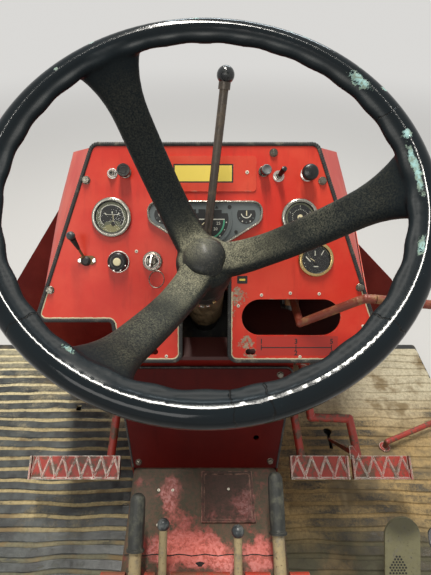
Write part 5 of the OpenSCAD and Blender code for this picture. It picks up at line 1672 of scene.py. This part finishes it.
# left, low, right and high edge, height over the panel, thickness, finish and corner radius, in millimetres
PLATES = (
    (-48.0, 50.0, 43.0, 78.0, 1.4, 0.25, PLATE_BLACK, 1.0),
    (-45.8, 52.2, 40.8, 75.8, 1.5, 0.25, PLATE_YELLOW, 0.5),
    (50.0, -104.0, 66.0, -92.0, 0.0, 0.3, PLATE_BLACK, 1.0),
    (53.5, -99.5, 62.5, -96.5, 0.1, 0.3, PLATE_YELLOW, 0.4),
    (81.0, -218.0, 209.0, -187.0, 0.0, PATCH_T, PLATE_RED, 1.0),
)
GATE_Y = -205.0
GATE_X = (88.7, 143.3, 199.2)
GATE_TICK = 4.5
GATE_NUMBER = 8.0
# number over and under each tick of the gate
GATE_NUMBERS = (("1", ""), ("3", "2"), ("5", "4"))

plates = Form()
for left, low, right, high, height, thick, finish, corner in PLATES:
    middle = ((left + right) / 2.0 * MM, (low + high) / 2.0 * MM)
    outline = rounded_box((right - left) * MM, (high - low) * MM, corner * MM, 3, middle)
    plates.slab(outline, height * MM, (height + thick) * MM, PANEL, finish)
face = on(PANEL, z=PATCH_T)
stroke(plates, face, ((GATE_X[0], GATE_Y), (GATE_X[2], GATE_Y)), 1.5, PLATE_BLACK)
for x, numbers in zip(GATE_X, GATE_NUMBERS):
    stroke(plates, face, ((x, GATE_Y - GATE_TICK), (x, GATE_Y + GATE_TICK)), 1.4, PLATE_BLACK)
    for text, y in zip(numbers, (GATE_Y + 9.5, GATE_Y - 9.0)):
        if text:
            numeral(plates, text, on(face, x, y), GATE_NUMBER, PLATE_BLACK, bold=0.25)
plates.object("label_and_gate", "platform", PLATE_FINISHES, "red_paint")
print("plates:", len(PLATES))


# %% [markdown]
# The four levers on the tunnel are steel tubes, dusty and spotted with rust. Two carry long moulded grips
# with a round end and shallow grooves, the other two a ball. The grips are closed skins over the tubes, and
# each lever rides on its own body, which swings on the shaft under the console.

# %% Tunnel levers
low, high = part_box("lever_shaft")
SHAFT_AT = Vector((0.0, (low.y + high.y) / 2.0, (low.z + high.z) / 2.0))
SHAFT_R = 0.008
SHAFT_GAP = 0.0001
HUB_T = 0.007
HUB_HALF = 0.011
CONSOLE_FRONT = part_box("rear_console")[1].y
# body, across, reach from the console, height over the tunnel, tube radius, grip length or 0 for a ball
LEVERS = (
    ("park_lever", -0.101, 0.086, 0.080, 0.009, 0.078),
    ("lift_lever", -0.061, 0.047, 0.065, 0.006, 0.0),
    ("draft_lever", 0.047, 0.034, 0.075, 0.006, 0.0),
    ("range_lever", 0.108, 0.114, 0.090, 0.009, 0.086),
)
BALL_R = 0.0092
POLE_R = 1e-5
GRIP_T = 0.002
GRIP_LAP = 0.004
# share of the grip's length, and of its radius, from its collar to its round end
GRIP_FOOT = ((0.0, 0.80), (0.012, 1.16), (0.05, 1.22), (0.075, 1.02), (0.10, 1.0))
GRIP_BELLY = (0.2, 0.35, 0.5, 0.65, 0.8)
GRIP_END = ((0.86, 1.02), (0.90, 0.98), (0.94, 0.86), (0.97, 0.68), (0.99, 0.42), (0.999, 0.12))
GROOVE_DEPTH = 0.045


def moulded_grip(form, start, tip, radius, finish):
    """A rubber grip: collar, grooved body with a slight belly and a round end."""
    way = (tip - start).normalized()
    side = way.orthogonal().normalized()
    up = way.cross(side)
    belly = ((t, 1.0 + 0.06 * math.sin(math.pi * t)) for t in GRIP_BELLY)
    rings = []
    for share, scale in (*GRIP_FOOT, *belly, *GRIP_END):
        ring = []
        for i, a in enumerate(angles(48)):
            groove = GROOVE_DEPTH if i % 6 == 0 and 0.09 < share < 0.88 else 0.0
            out = side * math.cos(a) + up * math.sin(a)
            ring.append(start.lerp(tip, share) + out * radius * (scale - groove))
        rings.append(ring)
    form.skin(rings, finish)


def ball_knob(form, centre, way, radius, finish, steps=28):
    """A ball with a short neck, its axis along a direction."""
    place = Matrix.Translation(centre) @ along_z(way)
    profile = [(POLE_R, -radius * 1.35), (radius * 0.62, -radius * 1.3), (radius * 0.60, -radius * 0.82)]
    profile += [polar(radius, -50.0 + 10.0 * i) for i in range(14)]
    form.lathe(profile + [(POLE_R, radius)], place, steps, finish)


def floor_lever(body, x, reach, height, radius, grip_l):
    base = Vector((x, SHAFT_AT.y, SHAFT_AT.z))
    tip = Vector((x, CONSOLE_FRONT + reach, TUNNEL_TOP + height))
    way = (tip - base).normalized()
    form = Form()
    hub = turned_by(Matrix.Translation(base), 90.0, "Y")
    inner = SHAFT_R + SHAFT_GAP
    outer = SHAFT_R + HUB_T
    section = ((inner, -HUB_HALF), (outer, -HUB_HALF), (outer, HUB_HALF), (inner, HUB_HALF))
    form.skin([circle(hub, r, z, 28) for r, z in section], 0, loop=True)
    end = tip - way * (max(grip_l, 2.0 * GRIP_LAP) - GRIP_LAP)
    form.tube([base + way * (SHAFT_R + 0.002), base.lerp(end, 0.5), end], radius, 24, 0)
    if grip_l:
        moulded_grip(form, tip - way * grip_l, tip + way * 0.001, radius + GRIP_T, 1)
    else:
        ball_knob(form, tip, way, BALL_R, 1)
    handle = grip_rubber if grip_l else ball_grey
    return form.object(body + "_arm", body, [lever_steel, handle], "dusty_metal", [body])


for row in LEVERS:
    print(floor_lever(*row).name)

# %% Black balls of the hand lever and the gear lever
# name, body, centre of the ball, a point further down the rod, radius
BLACK_BALLS = (
    ("hand_lever_ball", "hand_lever", (0.027, 0.136, 0.840), (0.0, 0.055, 0.605), 0.0117),
    ("gear_lever_knob", "gear_lever", (0.381, -0.032, 0.580), (0.299, -0.020, 0.579), 0.0183),
)

for name, body, centre, foot, radius in BLACK_BALLS:
    knob = Form()
    ball_knob(knob, Vector(centre), (Vector(centre) - Vector(foot)).normalized(), radius, 0, 36)
    knob.object(name, body, [knob_gloss], "black_knob")
    print(name, "radius", radius)

# %% Screws on the column's sleeve
SLEEVE_R = 29.5
# across and along the column, height and finish
SLEEVE_SCREWS = (
    (-6.0, -262.0, 2.4, 0), (-2.4, -262.0, 2.4, 0), (4.4, -260.0, 2.4, 0), (13.0, -248.0, 3.4, 1),
)

screws = Form()
for x, z, high, finish in SLEEVE_SCREWS:
    a = math.asin(x / SLEEVE_R)
    way = Vector((math.sin(a), -math.cos(a), 0.0))
    seat = on(COLUMN, *(way * SLEEVE_R + Vector((0.0, 0.0, z))))
    hexagon(screws, seat @ along_z(way), 4.4, -0.2, high, finish)
screws.object("sleeve_screws", "platform", [bright_steel, ring_brass], "bare_steel")
print("screws on the sleeve:", len(SLEEVE_SCREWS))

# %% [markdown]
# The mats come off the roll with straight ribs. Boots, heat and years have pushed them into slow waves. A
# copy of each solid keeps its outline, holes and height: it is cut into narrow strips, and the points slide a
# few millimetres forward or back by a slow noise. Near rims, holes and what stands on the mat they stay put.

# %% Mats with wavy ribs
STRIP = 0.014
WAVE_SLIDE = 0.0075
MAT_SHARP = 30.0
# length along x and y of the slow waves and of the ripples on them, and which slice of the noise is used
SLOW_WAVE = (0.17, 0.10, 3.7)
RIPPLE = (0.06, 0.05, 9.1)
RIPPLE_SHARE = 0.4
CALM = 0.03
# places that keep still: x, y and how far the calm reaches
STILL = (
    (0.290, 0.068, 0.05), (-0.313, 0.155, 0.03), (0.341, -0.258, 0.07), (0.411, 0.048, 0.03),
    (0.556, 0.106, 0.03),
)


def wave(x, y, long, wide, slice_at):
    return noise.noise((x / long, y / wide, slice_at))


def slide(x, y, low, high):
    """How far a point of the mat slides along y."""
    lively = min(1.0, (y - low) / CALM, (high - y) / CALM)
    for still_x, still_y, reach in STILL:
        away = math.hypot(x - still_x, y - still_y)
        lively = min(lively, max(0.0, away / reach - 1.0))
    return WAVE_SLIDE * max(0.0, lively) * (wave(x, y, *SLOW_WAVE) + RIPPLE_SHARE * wave(x, y, *RIPPLE))


def wavy_mat(node, finish):
    mesh = NODES[node].data.copy()
    low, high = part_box(node)
    bm = bmesh.new()
    bm.from_mesh(mesh)
    x = low.x + STRIP
    while x < high.x:
        everything = bm.verts[:] + bm.edges[:] + bm.faces[:]
        bmesh.ops.bisect_plane(bm, geom=everything, plane_co=(x, 0.0, 0.0), plane_no=(1.0, 0.0, 0.0))
        x += STRIP
    for point in bm.verts:
        point.co.y += slide(point.co.x, point.co.y, low.y, high.y)
    bm.to_mesh(mesh)
    bm.free()
    coat_mesh(mesh, finish, MAT_SHARP)
    piece = settle(bpy.data.objects.new(node + "_wavy", mesh), "platform", [node])
    print(piece.name, "faces:", len(mesh.polygons))


wavy_mat("mat_left", mat_left_rubber)
wavy_mat("mat_right", mat_right_rubber)

# %% [markdown]
# Some marks are shapes of their own: the pattern of small dimples pressed in the foot throttle's plate, drawn
# as dark dots of painted shade; the seam across the tunnel cover, a dark line of painted shadow; and the
# black smear of grease beside it.

# %% Dimples of the foot throttle as dots of painted shade
THROTTLE_TILT = 49.0
# the heel's axis runs this far over the underside of its base
HEEL_UP = 0.014
THROTTLE = leaning(Vector((0.341, -0.258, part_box("foot_throttle_base")[0].z + HEEL_UP)), THROTTLE_TILT)
PLATE_TOP = 8.05
DIMPLE_PITCH = 5.4
ROW_PITCH = 0.87 * DIMPLE_PITCH
DIMPLE_R = 1.9
DIMPLE_H = 0.12
DIMPLE_MIDDLE = (-8.0, 70.0)
# half the width and half the length of the oval that the dimples fill
DIMPLE_FIELD = (16.0, 24.0)

# dark dots of painted shade where the plate's dimples are
dimples = Form()
count = 0
for row in range(-6, 7):
    for column in range(-6, 7):
        x = (column + 0.5 * (row % 2)) * DIMPLE_PITCH
        y = row * ROW_PITCH
        if (x / DIMPLE_FIELD[0]) ** 2 + (y / DIMPLE_FIELD[1]) ** 2 < 1.0:
            place = on(THROTTLE, DIMPLE_MIDDLE[0] + x, DIMPLE_MIDDLE[1] + y, PLATE_TOP)
            dimples.turned(place, ((DIMPLE_R, 0.0), (DIMPLE_R, DIMPLE_H)), 0, 10)
            count += 1
dimples.object("throttle_dimples", "throttle", [print_black], "frame_black")
print("dimples:", count)

# %% Painted shadow of the seam, and the smear on the tunnel
# one dark brown for the seam's painted shadow and for the grease of the smear
grease_and_seam_shadow = flat_tone("grease_and_seam_shadow", paint(24, 17, 12), 0.5, roughness=0.8)
SEAM_Y = -231.4
SEAM_HALF = 124.0
SEAM_WANDER = 1.2
SEAM_W = 1.6
SMEAR_AT = (-7.6, -243.6)
SMEAR_SIZE = (6.0, 3.4)
SMEAR_T = 0.12 * MM

top = on(level, z=TUNNEL_TOP / MM)
seam = Form()
# the seam is a dark line of painted shadow
edge = [(SEAM_HALF * (1.0 - i / 12.0), SEAM_Y + SEAM_WANDER * math.sin(i * 1.7)) for i in range(25)]
stroke(seam, top, edge, SEAM_W, 0)
# the smear is grease
smear = []
for a in angles(26):
    x = SMEAR_SIZE[0] * math.cos(a) * (1.0 + 0.3 * math.sin(3 * a))
    smear.append((SMEAR_AT[0] + x, SMEAR_AT[1] + SMEAR_SIZE[1] * math.sin(a)))
seam.slab(mm(smear), 0.0, SMEAR_T, top, 0)
seam.object("tunnel_seam", "platform", [grease_and_seam_shadow], "worn_red_paint")
print("seam", 2 * SEAM_HALF, "mm long")
